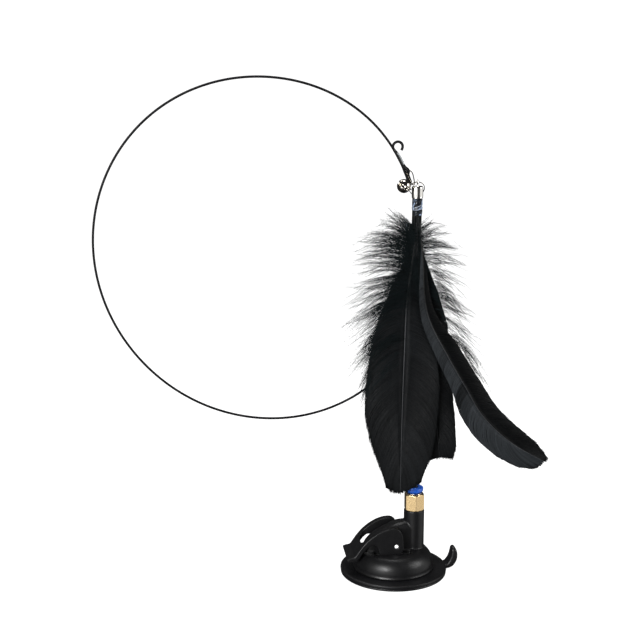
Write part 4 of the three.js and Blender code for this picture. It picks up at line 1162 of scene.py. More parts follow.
def shrink_sleeve(name, start, end, wall):
    """An oval tube round both strands, drawn in at its ends, with an open bore."""
    stations, half_width, half_thick = 40, 1.3 * MM, 0.78 * MM
    along = np.linspace(start, end, stations)
    share = np.linspace(-1, 1, stations)
    middle = route.beside(along, 0.5, STRAND_SPACING)
    tight = 1 - 0.08 * np.abs(share) ** 6
    across = unit(route.beside(along, 1, STRAND_SPACING) - route.beside(along, 0, STRAND_SPACING))
    forward = unit(np.gradient(middle, axis=0))
    thick = np.cross(forward, across)
    turn = full_turn(32)[None, :, None]
    middle = middle + 0.06 * MM * across
    rows = []
    for grow in (wall, 0.0):
        wide = ((half_width + grow) * tight)[:, None, None]
        slim = ((half_thick + grow) * tight)[:, None, None]
        ring = wide * np.cos(turn) * across[:, None] + slim * np.sin(turn) * thick[:, None]
        rows.append(middle[:, None] + ring)
    # tone paints a highlight on the sleeve: a pale band along one side of the tube, fading out towards its
    # ends
    fade = np.concatenate([share, share[::-1]])[:, None]
    tone = smoothstep((np.cos(turn[0, :, 0]) - 0.6) / 0.3) * smoothstep((fade + 0.7) / 0.4)
    return numbered(skin(name, np.vstack([rows[0], rows[1][::-1]]), ring=True), "tone", tone)


class TOY_OT_sleeves(bpy.types.Operator):
    """Make the two shrink sleeves that hold the fold"""

    bl_idname = "toy.sleeves"
    bl_label = "Sleeves"

    def execute(self, context):
        colours = context.scene.toy_colours
        film = sleeve_painted_highlight(colours.sleeve)
        wall, clear = 0.12 * MM, 1.1 * MM
        upper = shrink_sleeve("upper_shrink_sleeve", CURL_AT + 0.5 * MM, EYE_START - clear, wall)
        place(upper, "wand", "black_nylon", film, "upper_sleeve")
        lower_start = EYE_START + EYE_LENGTH + clear
        lower = shrink_sleeve("tip_shrink_sleeve", lower_start, TIP_LENGTH + 0.7 * MM, wall)
        place(lower, "wand", "black_nylon", black_nylon(colours.nylon), "tip_sleeve")
        return {"FINISHED"}


# Snap clasp, split ring and bell


HANGER_RADIUS, HANGER_WIRE = 1.15 * MM, 0.3 * MM  # loops of the bell and the cap
RING_RADIUS, RING_WIRE = 4.4 * MM, 0.19 * MM
RING_TILT = 28 * DEGREE
RING_DOWN = np.array([0, math.sin(RING_TILT), -math.cos(RING_TILT)])
RING_OUT = np.cross(X_AXIS, RING_DOWN)
ring_hold = eye + np.array([3.1, -3.4, -6.8]) * MM  # where the clasp's hook carries the ring
ring_aside = 2.6 * MM  # how far that is from the ring's top
ring_centre = ring_hold + ring_aside * X_AXIS + math.sqrt(RING_RADIUS**2 - ring_aside**2) * RING_DOWN
ring_top = ring_centre - RING_RADIUS * RING_DOWN
CLAW_SHARES = [
    [-0.12, 0.27],
    [-0.12, 0.15],
    [-0.1, 0.05],
    [0, 0],
    [0.18, -0.01],
    [0.34, 0.05],
    [0.4, 0.2],
    [0.33, 0.48],
    [0.22, 0.74],
    [0.13, 0.91],
    [0, 1],
    [-0.11, 0.95],
    [-0.12, 0.84],
]


CLAW_WIRE, GATE_WIRE = 0.3 * MM, 0.27 * MM
GATE_GAP = 0.2 / 9.27  # share of the clasp's length


def on_claw(shares):
    """Places in the clasp's plane, from [across, along] as shares of its length, and the plane's normal."""
    twist, past_ring = 50 * DEGREE, 1.06 * MM
    along = unit(ring_hold - eye)
    facing = np.array([math.sin(twist), math.cos(twist), 0])
    across = unit(facing - along * (facing @ along))
    shares = np.asarray(shares, float) * (np.linalg.norm(ring_hold - eye) + past_ring)
    return eye + shares[:, 1:2] * along + shares[:, 0:1] * across, np.cross(along, across)


class TOY_OT_clasp(bpy.types.Operator):
    """Make the wire clasp with its gate"""

    bl_idname = "toy.clasp"
    bl_label = "Clasp"

    def execute(self, context):
        bright = nickel(context.scene.toy_colours.ring_metal)
        claw, normal = on_claw(CLAW_SHARES)
        rows = tube(evenly(curve_through(claw, 10), 120), CLAW_WIRE * end_rounding(120), 16, normal)
        body = skin("wire_claw", rows)
        place(body, "clasp", "nickel", bright, "clasp_body")
        bar, normal = on_claw([[-0.12, 0.84 - GATE_GAP], [-0.12, 0.27 + GATE_GAP]])
        rows = tube(evenly(bar, 40), GATE_WIRE * end_rounding(40), 16, normal)
        gate = skin("wire_gate", rows)
        place(gate, "gate", "nickel", bright, "clasp_gate")
        return {"FINISHED"}


class TOY_OT_split_ring(bpy.types.Operator):
    """Make the split ring: two close turns of wire whose ends lie side by side"""

    bl_idname = "toy.split_ring"
    bl_label = "Split ring"

    def execute(self, context):
        stations, opening = 200, 200 * DEGREE
        turn = np.linspace(0, 4 * math.pi, stations) + opening
        step_over = np.clip(6 * np.linspace(-1, 1, stations), -1, 1)
        circle = RING_RADIUS * (np.cos(turn)[:, None] * X_AXIS + np.sin(turn)[:, None] * RING_DOWN)
        aside = 0.2 * MM * step_over[:, None] * RING_OUT
        coil = skin("double_split_ring", tube(ring_centre + circle + aside, RING_WIRE, 10, RING_OUT))
        place(coil, "ring", "nickel", nickel(context.scene.toy_colours.ring_metal), "split_ring")
        return {"FINISHED"}


BELL_REACH = 5.25 * MM  # from the bell's middle to its loop's


def bell_shell():
    """The bell round its own Z axis, with its loop on top: shell, hollow, slot, two holes, neck and loop."""
    radius, wall, below = 4 * MM, 0.45 * MM, -6 * MM
    hole_x, slot_half = 3.3 * MM, 0.6 * MM
    turn = np.linspace(-math.pi / 2, math.pi / 2, 49)
    ball = np.stack([np.maximum(np.cos(turn), 0.012), np.sin(turn)], axis=1)
    shell = skin("bell_shell_new", turned(ball * radius, 96))
    hollow = skin("bell_hollow", turned(ball * (radius - wall), 72))
    corners = np.array([[-1, -1], [1, -1], [1, 1], [-1, 1]]) * [hole_x, slot_half]
    slot = skin("bell_slot", prism(corners, below, -wall, "xy"))
    holes = [skin("bell_hole", column(1.05 * MM, below, -wall, 32, (x, 0))) for x in (-hole_x, hole_x)]
    combine(shell, [hollow, slot, *holes], "DIFFERENCE")
    neck = skin("bell_neck", column(0.5 * MM, radius - wall / 2, BELL_REACH - 1 * MM, 24))
    rows = wire_loop(BELL_REACH * Z_AXIS, HANGER_RADIUS, HANGER_WIRE, Y_AXIS, X_AXIS, 48)
    combine(shell, [neck, skin("bell_loop", rows, ring=True)], "UNION")
    return shell


def bell_matrix():
    """Turns the bell's own Z towards the ring, with its loop's axis along the ring's wire."""
    direction = unit(np.array([-0.7, -0.63, 0.34]))
    centre = ring_centre - RING_RADIUS * X_AXIS + BELL_REACH * direction
    z_axis = -direction
    loop_axis = unit(RING_DOWN - z_axis * (RING_DOWN @ z_axis))
    matrix = np.eye(4)
    matrix[:3] = np.stack([np.cross(loop_axis, z_axis), loop_axis, z_axis, centre], axis=1)
    return Matrix(matrix.tolist())


class TOY_OT_bell(bpy.types.Operator):
    """Make the slotted bell with its loop and ball"""

    bl_idname = "toy.bell"
    bl_label = "Bell"

    def execute(self, context):
        colours, sizes = context.scene.toy_colours, context.scene.toy_sizes
        shell = softened(bell_shell(), sizes.metal_cell, 2)
        shell.data.transform(bell_matrix())
        shell.name = "jingle_bell"
        place(shell, "bell", "nickel", nickel(colours.bell_metal), "bell_shell")
        dress("bell_ball", steel(colours.steel))
        return {"FINISHED"}


# Feather cap and binding


def cap_profile(radius, top, low):
    """The cap's section: a cup with its mouth down, whose rim is drawn in by a crimp and rolled."""
    inside, ceiling = radius - 0.5 * MM, top - 1.5 * MM
    return [
        [AXIS_GAP, ceiling],
        [inside, ceiling],
        [inside, low + 0.2 * MM],
        [radius - 0.25 * MM, low],
        [radius - 0.05 * MM, low + 0.2 * MM],
        [radius - 0.12 * MM, low + 0.6 * MM],
        [radius, low + 0.9 * MM],
        [radius, top - 0.7 * MM],
        [radius - 0.5 * MM, top],
        [AXIS_GAP, top],
    ]


def feather_cap(centre):
    """The crimped cap, thinner from front to back, with its neck and the loop that hangs on the ring."""
    top, oval = ring_top[2] - 2.3 * MM, 0.87
    rows = turned(rounded(cap_profile(3.3 * MM, top, cap_low.z), 0.25 * MM, 5), 80, centre)
    rows[..., 1] = centre[1] + oval * (rows[..., 1] - centre[1])
    neck = turned([[0.5 * MM, top - 0.5 * MM], [0.4 * MM, ring_top[2] - 1 * MM]], 24, centre)
    loop = wire_loop(ring_top, HANGER_RADIUS, HANGER_WIRE, X_AXIS, Y_AXIS, 60)
    parts = [skin("cap_shell", rows), skin("cap_neck", neck), skin("cap_loop", loop, ring=True)]
    return join("crimped_cap", parts)


def quill_film(centre):
    """A wrapped tube whose radius waves a little round and along it."""
    height = np.linspace(film_low.z, film_high.z, 50)[:, None]
    turn = full_turn(60)
    share = (height - film_low.z) / (film_high.z - film_low.z)
    wave = 0.05 * MM * np.sin(3 * turn + 9 * share) + 0.04 * MM * np.sin(7 * turn - 15 * share)
    rows = []
    for radius in (3.05 * MM, 2.95 * MM):
        r = radius + wave - 0.15 * MM * (1 - share)
        x, y = centre[0] + r * np.cos(turn), centre[1] + r * np.sin(turn)
        rows.append(np.stack([x, y, np.broadcast_to(height, x.shape)], axis=-1))
    return skin("quill_film", np.vstack([rows[0], rows[1][::-1]]), ring=True)


# The thread's loose ends: which side, and in millimetres how far down and out they go, and from how low
LOOSE_ENDS = [(-1, 15, 3.4, 0.5), (-1, 9, 2.2, 2.5), (1, 8, 1.6, 1.0)]


def wound_thread(centre):
    """A helix round the film, whose pitch wanders by a sine of its turn, and three loose ends that hang
    out of it in slow waves."""
    winds, radius, margin = 2.4, 3.16 * MM, 0.9 * MM
    turn = np.linspace(0, 2 * math.pi * winds, 320) + 0.6
    share = np.linspace(0, 1, 320)
    wander = 0.8 * MM * np.sin(turn * 0.62) + 0.9 * MM * np.sin(turn + 1)
    x = centre[0] + radius * np.cos(turn)
    y = centre[1] + radius * np.sin(turn)
    z = thread_low.z + margin + (thread_high.z - thread_low.z - 2 * margin) * share
    z = z + wander * np.sin(math.pi * share)
    rows = [tube(np.stack([x, y, z], axis=1), 0.11 * MM, 8, Z_AXIS)]
    for side, drop, out, lift in LOOSE_ENDS:
        u = np.linspace(0, 1, 40)
        x = centre[0] + side * (3.05 + out * np.sin(2.2 * u)) * MM
        y = centre[1] - (0.6 + 1.2 * u) * MM
        z = thread_high.z - (lift + drop * u - 1.2 * np.sin(5 * u)) * MM
        rows.append(tube(np.stack([x, y, z], axis=1), 0.07 * MM, 6, Y_AXIS))
    return skin_all("wound_thread", rows)


class TOY_OT_cap_and_binding(bpy.types.Operator):
    """Make the crimped cap, the film round the quills and the thread on it"""

    bl_idname = "toy.cap_and_binding"
    bl_label = "Cap and binding"

    def execute(self, context):
        colours = context.scene.toy_colours
        centre = ring_top[:2]
        place(feather_cap(centre), "lure", "nickel", nickel(colours.nickel), "feather_cap")
        place(quill_film(centre), "lure", "clear_film", clear_film(colours.film), "quill_binding")
        place(wound_thread(centre), "lure", "thread", binding_cotton(colours.thread), "binding_thread")
        return {"FINISHED"}


# Feathers


QUILL_TOP = 236.3 * MM
BUNDLE_RADIUS = 1.45 * MM
LAST_BARB = 0.94  # where the last barb leaves the shaft, as a share of its length
CLUMP_SIZES = (14, 60)  # fewest and most barbs that hold together
BARB_HALF_WIDTH = 0.34 * MM
# Share down the shaft, then how far ahead a barb goes there, as a share of its reach
BARB_AHEAD = [[0, 0.5], [0.3, 0.75], [0.6, 1.25], [0.85, 1.7], [1, 1.9]]
# Share down the shaft, then its radius in millimetres
SHAFT_RADII = [[0, 0.62], [0.12, 0.66], [0.3, 0.55], [0.6, 0.38], [0.9, 0.2], [1, 0.1]]
# tone holds painted light and shade: a vane turned to the light is painted lighter than one in shade
# spine: share down the shaft, then how far it goes down, aside and forward, as shares of its length
# vane: share down the shaft, then the vane's width to the left and to the right, as shares of width
# fold, tone: for the left and the right vane; cup: how hollow they are; round: how round the end is
# fade: how much paler (below 0) or darker the vanes are near the root
FEATHERS = {
    "feather_front": {
        "length": 181.2 * MM,
        "width": 22 * MM,
        "bundle_turn": -90,
        "spine": [
            [0, 0, 0],
            [0.08, 0, 0],
            [0.2, -0.012, 0.004],
            [0.325, -0.029, 0.007],
            [0.54, -0.038, 0.009],
            [0.765, -0.043, 0.01],
            [1, -0.045, 0.01],
        ],
        "vane": [
            [0.17, 0, 0],
            [0.22, 0.16, 0.16],
            [0.32, 0.45, 0.4],
            [0.43, 0.74, 0.65],
            [0.54, 0.93, 0.86],
            [0.64, 1, 0.98],
            [0.74, 1, 0.97],
            [0.82, 0.86, 0.92],
            [0.9, 0.62, 0.8],
            [0.96, 0.47, 0.66],
            [1, 0.4, 0.56],
        ],
        "fold": (0.1, 0.06),
        "cup": 0.09,
        "tone": (0.09, 0.11),
        "fade": 1,
        "shaft_width": 0.7,
        "shaft_tone": 0.5,
        "bare_from": 0.32,
        "round": 0.09,
        "seed": 3,
    },
    "feather_back": {
        "length": 162.3 * MM,
        "width": 16 * MM,
        "bundle_turn": 54,
        "spine": [
            [0, 0, 0],
            [0.09, 0, 0],
            [0.22, 0.008, -0.001],
            [0.4, 0.03, -0.002],
            [0.6, 0.054, -0.003],
            [0.8, 0.076, -0.004],
            [1, 0.095, -0.004],
        ],
        "vane": [
            [0.19, 0, 0],
            [0.26, 0.2, 0.2],
            [0.38, 0.5, 0.5],
            [0.5, 0.78, 0.72],
            [0.62, 0.95, 0.7],
            [0.74, 1, 0.67],
            [0.86, 0.9, 0.69],
            [0.95, 0.7, 0.64],
            [1, 0.5, 0.5],
        ],
        "fold": (0.05, 0.1),
        "cup": 0.05,
        "tone": (0.06, 0.05),
        "fade": 1,
        "shaft_width": 0.6,
        "shaft_tone": 0.1,
        "bare_from": 0.5,
        "round": -0.05,
        "seed": 11,
    },
    "feather_side": {
        "length": 165 * MM,
        "width": 12 * MM,
        "bundle_turn": -18,
        "spine": [
            [0, 0, 0],
            [0.087, 0, 0.004],
            [0.233, 0.009, 0.022],
            [0.441, 0.031, 0.028],
            [0.582, 0.102, 0.026],
            [0.709, 0.176, 0.02],
            [0.8, 0.23, 0.014],
            [0.914, 0.344, 0.006],
            [1, 0.485, 0.001],
        ],
        "vane": [
            [0.16, 0, 0],
            [0.22, 0.12, 0.12],
            [0.36, 0.3, 0.35],
            [0.5, 0.5, 0.7],
            [0.6, 0.6, 0.74],
            [0.7, 0.85, 0.82],
            [0.8, 1, 0.83],
            [0.88, 1, 0.78],
            [0.94, 0.92, 0.66],
            [0.975, 0.7, 0.42],
            [1, 0.3, 0.2],
        ],
        "fold": (-0.22, -0.12),
        "cup": 0.08,
        # painted light and shade: the left vane is painted lighter, as if lit, and the right darker, as if in
        # shade
        "tone": (0.38, 0.02),
        "fade": -0.35,
        "shaft_width": 0.6,
        "shaft_tone": 0.3,
        "bare_from": 0.3,
        "round": 0.0,
        "seed": 23,
    },
}


class Shaft:
    """A feather's shaft: places, directions and sides at even distances along it."""

    def __init__(self, feather, count=500):
        turn = feather["bundle_turn"] * DEGREE
        root = ring_top[:2] + BUNDLE_RADIUS * np.array([math.cos(turn), math.sin(turn)])
        down, sideways, forward = np.array(feather["spine"], float).T * feather["length"]
        points = np.stack([root[0] + sideways, root[1] - forward, QUILL_TOP - down], axis=1)
        self.points = evenly(curve_through(points, 24), count)
        self.along = unit(np.gradient(self.points, axis=0))
        self.across = unit(np.stack([-self.along[:, 2], np.zeros(count), self.along[:, 0]], axis=1))
        self.facing = np.cross(self.along, self.across)
        self.places = np.linspace(0, 1, count)

    def frame_at(self, share):
        """The place, side, face and direction at shares of the length, looked up between stations."""
        kept = (self.points, self.across, self.facing, self.along)
        return [np.stack([np.interp(share, self.places, part) for part in rows.T], -1) for rows in kept]


def barbs(name, feather, side, pitch):
    """One side of a vane. Barb i leaves the shaft at share t0 and goes ahead by u^1.3 of its reach, and
    sideways by sin(u quarter turns) of the vane's width where it ends. Past the blunt end's start, the
    barbs end on the end line, nearer to the shaft the later they leave it. Clumps of barbs part a little
    towards the edge."""
    rng = np.random.default_rng(feather["seed"] + (side > 0))
    shaft = Shaft(feather)
    size, width = feather["length"], feather["width"]
    start = feather["vane"][0][0] + 0.004
    count = int((LAST_BARB - start) * size / pitch)
    t0 = np.linspace(start, LAST_BARB, count)
    left_or_right = 0 if side < 0 else 1
    column_at = 1 + left_or_right
    t1 = t0 + table(feather["vane"], t0, column_at) * width * table(BARB_AHEAD, t0, 1) / size
    blunt = t1 > 1
    t1 = np.minimum(t1, 1)
    reach = table(feather["vane"], t1, column_at) * width
    if blunt.any():
        first = t0[blunt][0]
        shorter = np.clip((LAST_BARB - t0) / (LAST_BARB - first), 0.02, 1)
        reach = np.where(blunt, reach * shorter, reach)
    sizes = rng.integers(*CLUMP_SIZES, count)
    clump = np.searchsorted(np.cumsum(sizes), np.arange(count), side="right")
    clump_shift = rng.normal(0, 1, clump.max() + 1)[clump]
    ragged = rng.normal(0, 1, clump.max() + 1)[clump]
    t1 = t1 + 0.004 * rng.normal(0, 1, count) * t0
    reach = reach * (1 + 0.008 * ragged + 0.01 * rng.normal(0, 1, count))
    u = np.linspace(0, 1, 9)[None]
    share = t0[:, None] + (t1 - t0)[:, None] * u**1.3
    out = reach[:, None] * np.sin(u * math.pi / 2)
    layer = 0.06 * MM * ((np.arange(count) % 2) - 0.5)[:, None]
    rise = feather["fold"][left_or_right] * out - feather["cup"] * out**2 / width + layer
    slip = (0.12 * MM + 0.2 * MM * t0)[:, None] * clump_shift[:, None] * u**3 - end_cut(feather, share, out)
    frayed = 1 * MM * np.abs(ragged) + 0.4 * MM * np.abs(rng.normal(0, 1, count))
    slip -= (frayed * smoothstep((t1 - 0.9) / 0.08))[:, None] * u**2
    middle, across, facing, along = shaft.frame_at(share)
    paths = middle + side * (0.08 * MM + out)[..., None] * across
    paths = paths + rise[..., None] * facing + slip[..., None] * along
    lean = unit(facing + 0.28 * along - 0.1 * side * across)
    half = BARB_HALF_WIDTH * (0.6 + 0.4 * t0[:, None]) * np.clip((1 - u) * 5, 0.12, 1)
    uneven = 1 + 0.24 * clump_shift + 0.18 * rng.normal(0, 1, count)
    faded = 1 - feather["fade"] * (1 - smoothstep((t0 - 0.2) / 0.3 + 0.3))
    # the table's tone for each side holds painted light and shade, which uneven and faded then vary
    tone = np.clip(feather["tone"][left_or_right] * uneven * faded, 0, 1)
    return strands(name, paths, half + 0 * share, lean, 0.16, tone)


def end_cut(feather, share, out):
    """How far a point near the end is drawn back: by the square of its distance from the shaft, so that
    the end is round."""
    square = (out / feather["width"]) ** 2
    return feather["round"] * square * smoothstep((share - 0.86) / 0.14) * feather["length"]


def web_rows(feather):
    """The thin sheet that the barbs hook into: for every place along the shaft, a section that runs out
    along the front to each edge and back along the rear, 0.1 mm behind, a little inside the barbs' ends.
    Also gives each point's barb line: its way along the shaft less what the barbs go ahead by there."""
    shaft = Shaft(feather)
    start = feather["vane"][0][0] + 0.02
    share = np.linspace(start, 0.986, 120)
    points, front, rear = 17, 0.12 * MM, 0.22 * MM
    v = np.concatenate([np.linspace(-1, 1, points), np.linspace(1, -1, points)[1:-1]])
    left, right = (table(feather["vane"], share, side)[:, None] for side in (1, 2))
    near = np.where(v < 0, left, right)
    out = np.abs(v) * (near * feather["width"] * 0.97 - 0.25 * MM).clip(0.1 * MM)
    fold = np.where(v < 0, feather["fold"][0], feather["fold"][1])
    rise = fold * out - feather["cup"] * out**2 / feather["width"]
    back = np.concatenate([np.full(points, front), np.full(points - 2, rear)])
    middle, across, facing, along = (rows[:, None] for rows in shaft.frame_at(share))
    cut = end_cut(feather, share[:, None], out)[..., None] * along
    rows = middle - cut + (np.sign(v) * out)[..., None] * across + (rise - back)[..., None] * facing
    lines = share[:, None] * feather["length"] - 0.8 * table(BARB_AHEAD, share, 1)[:, None] * out
    return rows, lines


def shaft_rows(feather):
    """The quill and its shaft: a tapering oval tube along the feather's line."""
    shaft = Shaft(feather, 160)
    share = shaft.places
    radius = table(SHAFT_RADII, share, 1) * MM
    path = shaft.points + 0.12 * MM * shaft.facing
    return tube(path, feather["shaft_width"] * radius, 12, Y_AXIS, 0.9)


def bundle_rows():
    """The bare quills between the cap and the down: tubes on two rings round the bundle's axis, straight in
    the binding and then spreading by the square of what is left."""
    top, drop, radius = QUILL_TOP - 1 * MM, 38 * MM, 0.52 * MM
    bound = 0.45  # share of the length that the film holds
    u = np.linspace(0, 1, 26)
    rows = []
    for number, ring in ((6, 1.1 * MM), (13, 2.3 * MM)):
        for i in range(number):
            turn = 2 * math.pi * (i + 0.5 * (number % 2)) / number
            spread = ring * (1 + 0.45 * np.clip((u - bound) / (1 - bound), 0, 1) ** 2)
            wave = 0.12 * MM * np.sin(5 * u + 2 * i)
            x = ring_top[0] + spread * math.cos(turn) + wave - 1.6 * MM * u**2
            y = ring_top[1] + spread * math.sin(turn)
            path = np.stack([x, y + 0 * u, top - drop * u], axis=1)
            rows.append(tube(path, radius * (1 - 0.4 * u**2), 10, Y_AXIS))
    return rows


def skin_all(name, several):
    """One object from several grids of rows."""
    return join(name, [skin("part", rows) for rows in several])


class TOY_OT_feathers(bpy.types.Operator):
    """Make the three long feathers, barb by barb"""

    bl_idname = "toy.feathers"
    bl_label = "Feathers"

    def execute(self, context):
        colours = context.scene.toy_colours
        pitch = context.scene.toy_feathers.pitch
        vane, web, horn = vane_black(colours.vane), web_black(colours.vane), quill_grey(colours.quill)
        for name, feather in FEATHERS.items():
            for side, word in ((-1, "left"), (1, "right")):
                place(barbs(f"{name}_vane_{word}", feather, side, pitch), "lure", "feather", vane)
            rows, lines = web_rows(feather)
            sheet = numbered(skin(name + "_web", rows), "line", lines)
            place(sheet, "lure", "feather", web)
            rows = shaft_rows(feather)
            bare = smoothstep((np.linspace(0, 1, rows.shape[0]) - feather["bare_from"]) / 0.12)
            tone = feather["shaft_tone"] * bare
            shaft = numbered(skin(name + "_shaft", rows), "tone", np.repeat(tone, rows.shape[1]))
            place(shaft, "lure", "feather", horn, name)
        bundle = skin_all("quill_bundle", bundle_rows())
        place(bundle, "lure", "feather", black_quill(colours.vane))
        return {"FINISHED"}


# Down: tufts of long loose barbs round the upper shafts


# Share down the tuft, then where its barbs start and where the longest end, as x and z in millimetres
DOWN_LEFT = [
    [0, 8, 210, 2, 221],
    [0.06, 7.5, 209, -7, 225],
    [0.13, 7, 207, -15, 219.5],
    [0.25, 6, 205, -24, 211.5],
    [0.4, 5, 197, -29.5, 196],
    [0.58, 4, 183, -34, 173],
    [0.75, 3, 167, -32.5, 149],
    [0.9, 1, 152, -30, 128],
    [1, -2, 137, -23, 110],
]
DOWN_RIGHT = [
    [0, 9, 211, 17, 221],
    [0.13, 10, 209, 28, 211],
    [0.33, 11, 203, 37, 199],
    [0.55, 13, 190, 42.5, 180],
    [0.72, 18, 174, 48, 159],
    [0.88, 25, 160, 52.5, 138],
    [1, 32, 142, 54, 114],
]
# The shorter barbs along the edges of the blades
EDGE_LEFT = [
    [0, 6, 197, -6, 195],
    [0.2, 2, 187, -13, 178],
    [0.45, -5, 171, -21, 158],
    [0.7, -11, 153, -26, 136],
    [1, -15, 132, -23, 112],
]
EDGE_RIGHT = [
    [0, 18, 196, 30, 191],
    [0.3, 20, 184, 35, 172],
    [0.55, 24, 170, 42, 154],
    [0.8, 32, 151, 49, 133],
    [1, 40, 136, 53, 117],
]


HAIR_FACING = np.array([0.1, -1.0, 0.2])
HAIR_STATIONS = 13


def fluff(name, tips, depth, guides, hairs, seed):
    """Tufts of down on one side. Each guide runs from its root to its tip in a bow, with waves that grow
    outwards. Its hairs start apart, and close up to it before they end."""
    rng = np.random.default_rng(seed)
    place_down = np.sort(rng.uniform(0, 1, guides))
    reach = 1.06 - 0.42 * rng.uniform(0, 1, guides) ** 1.6
    root_x, root_z, tip_x, tip_z = (table(tips, place_down, i) * MM for i in (1, 2, 3, 4))
    span_x, span_z = (tip_x - root_x) * reach, (tip_z - root_z) * reach + rng.normal(0, 2.4, guides) * MM
    root_y = ring_top[1] + depth + rng.normal(0, 0.7, guides) * MM
    span_y = rng.normal(0, 4.0, guides) * MM + 1.4 * depth
    size = np.hypot(span_x, span_z)
    u = np.linspace(0, 1, HAIR_STATIONS)[None]
    bow = (rng.normal(0.085, 0.07, guides) * size)[:, None] * np.sin(math.pi * u)
    turns = rng.uniform(5, 13, guides)[:, None] * u + rng.uniform(0, 6, guides)[:, None]
    wave = rng.uniform(0.15, 0.75, guides)[:, None] * MM * np.sin(turns) * u
    x = root_x[:, None] + span_x[:, None] * u - (span_z / size)[:, None] * wave
    y = root_y[:, None] + span_y[:, None] * u
    z = root_z[:, None] + span_z[:, None] * u + bow + (span_x / size)[:, None] * wave
    guide = np.stack([x, y, z], axis=-1)
    start = rng.normal(0, 1, (guides, hairs, 1, 3)) * np.array([0.8, 1.0, 2.8]) * MM
    spread = rng.normal(0, 1, (guides, hairs, 1, 3)) * np.array([0.6, 0.6, 0.75]) * MM
    long = 1.04 - 0.55 * rng.uniform(0, 1, (guides, hairs, 1, 1)) ** 1.3
    u4 = u[:, None, :, None]
    along = guide[:, None, :1] + (guide[:, None] - guide[:, None, :1]) * long
    bulge = np.sin(math.pi * u4**0.8) * (1 - 0.55 * u4) + 0.16 * u4
    close = start * (1 - u4) ** 1.6 + spread * bulge
    paths = (along + close).reshape(-1, HAIR_STATIONS, 3)
    thick = rng.uniform(0.045, 0.085, len(paths))[:, None] * MM * (1.05 - 0.8 * u**1.5)
    facing = np.broadcast_to(HAIR_FACING, paths.shape)
    tone = np.clip(rng.normal(0.4, 0.2, len(paths)), 0, 1)
    return strands(name, paths, thick, facing, 0.6, tone), paths


def fuzz(name, paths, each, seed):
    """Short fine hairs that stand off a tuft's barbs, forwards along them."""
    rng = np.random.default_rng(seed)
    bars, stations = paths.shape[:2]
    pick = rng.integers(0, bars, bars * each)
    where = rng.uniform(1, stations - 1.01, bars * each)
    low = where.astype(int)
    part = (where - low)[:, None]
    here, following = paths[pick, low], paths[pick, np.minimum(low + 1, stations - 1)]
    root = here * (1 - part) + following * part
    ahead = unit(following - here + 1e-9)
    off = unit(rng.normal(0, 1, root.shape) * [1, 0.5, 1])
    size = rng.uniform(1.0, 2.6, len(root))[:, None, None] * MM
    u = np.linspace(0, 1, 3)[None, :, None]
    path = root[:, None] + size * (u * ahead[:, None] * 0.75 + u**0.8 * off[:, None] * 0.6)
    half = np.broadcast_to(0.028 * MM * (1.1 - u[..., 0] * 0.7), path.shape[:2])
    facing = np.broadcast_to(np.array([0.13, -1.0, 0.21]), path.shape)
    return strands(name, path, half, facing, 0.8, rng.uniform(0, 1, len(root)))


def heart(name, count, seed):
    """The thick middle of the down: hairs that leave the bundle all round and bend outwards and down, by
    u^1.5 sideways and u downwards, in a shape that widens from the quills."""
    rng = np.random.default_rng(seed)
    u = np.linspace(0, 1, 9)[None]
    top, depth = 217, 24  # in millimetres, where the hairs start
    turn = rng.uniform(0, 2 * math.pi, count)
    start = top - depth * rng.uniform(0, 1, count) ** 1.2
    out = rng.uniform(3, 10, count) * (0.55 + 0.45 * (top - start) / depth)
    drop = rng.uniform(10, 34, count)
    away = (2.2 + out[:, None] * u**1.5) * MM
    x = ring_top[0] - 1.4 * MM + away * np.cos(turn)[:, None] * 1.1
    y = ring_top[1] + away * np.sin(turn)[:, None] * 0.62
    wave = rng.normal(0, 0.5, count)[:, None] * MM * np.sin(7 * u + turn[:, None])
    z = (start[:, None] - drop[:, None] * u) * MM
    paths = np.stack([x + wave, y, z], axis=-1)
    thick = rng.uniform(0.05, 0.1, count)[:, None] * MM * (1.05 - 0.8 * u**1.5)
    facing = np.broadcast_to(HAIR_FACING, paths.shape)
    return strands(name, paths, thick, facing, 0.6, np.clip(rng.normal(0.35, 0.18, count), 0, 1))


class TOY_OT_down(bpy.types.Operator):
    """Make the fluffy barbs round the upper part of the feathers"""

    bl_idname = "toy.down"
    bl_label = "Down"

    def execute(self, context):
        settings = context.scene.toy_feathers
        material = down_black(context.scene.toy_colours.down)
        # name, where the tufts are, how far behind the quills, how full, seed, and the node replaced
        groups = [
            ("down_front_left", DOWN_LEFT, -2.2 * MM, 1.45, 31, "feather_down"),
            ("down_front_right", DOWN_RIGHT, -2.0 * MM, 0.38, 37, None),
            ("down_back_left", DOWN_LEFT, 2.4 * MM, 1.0, 41, "feather_back_down"),
            ("down_back_right", DOWN_RIGHT, 2.2 * MM, 0.36, 43, None),
            ("edge_down_left", EDGE_LEFT, -1.2 * MM, 0.85, 61, None),
            ("edge_down_right", EDGE_RIGHT, 1.0 * MM, 0.2, 67, None),
        ]
        for name, tips, depth, full, seed, node in groups:
            tuft, paths = fluff(name, tips, depth, int(full * settings.guides), settings.hairs, seed)
            place(tuft, "lure", "down", material, *([node] if node else []))
            place(fuzz(name + "_fuzz", paths, 3, seed + 1), "lure", "down", material)
        place(heart("down_heart", 1500, 53), "lure", "down", material)
        return {"FINISHED"}


# Studio


# Bright walls of the surroundings: where each stands, half its width, both in degrees, and its strength
WALLS = [(230, 35, 1.0), (346, 34, 0.95)]
WALL_EDGE = 6  # degrees over which a wall's light falls off, to each side
# Softboxes: name, place and size in metres, and power in watts
SOFTBOXES = [
    ("softbox_left", (-0.72, -0.94, 0.42), 0.45, 24),
    ("softbox_right", (0.9, -0.36, 0.54), 0.45, 7.5),
    ("softbox_top", (0.1, 0.1, 1.6), 0.5, 9),
    ("softbox_back", (-0.4, 0.85, 1.7), 0.7, 9),
]


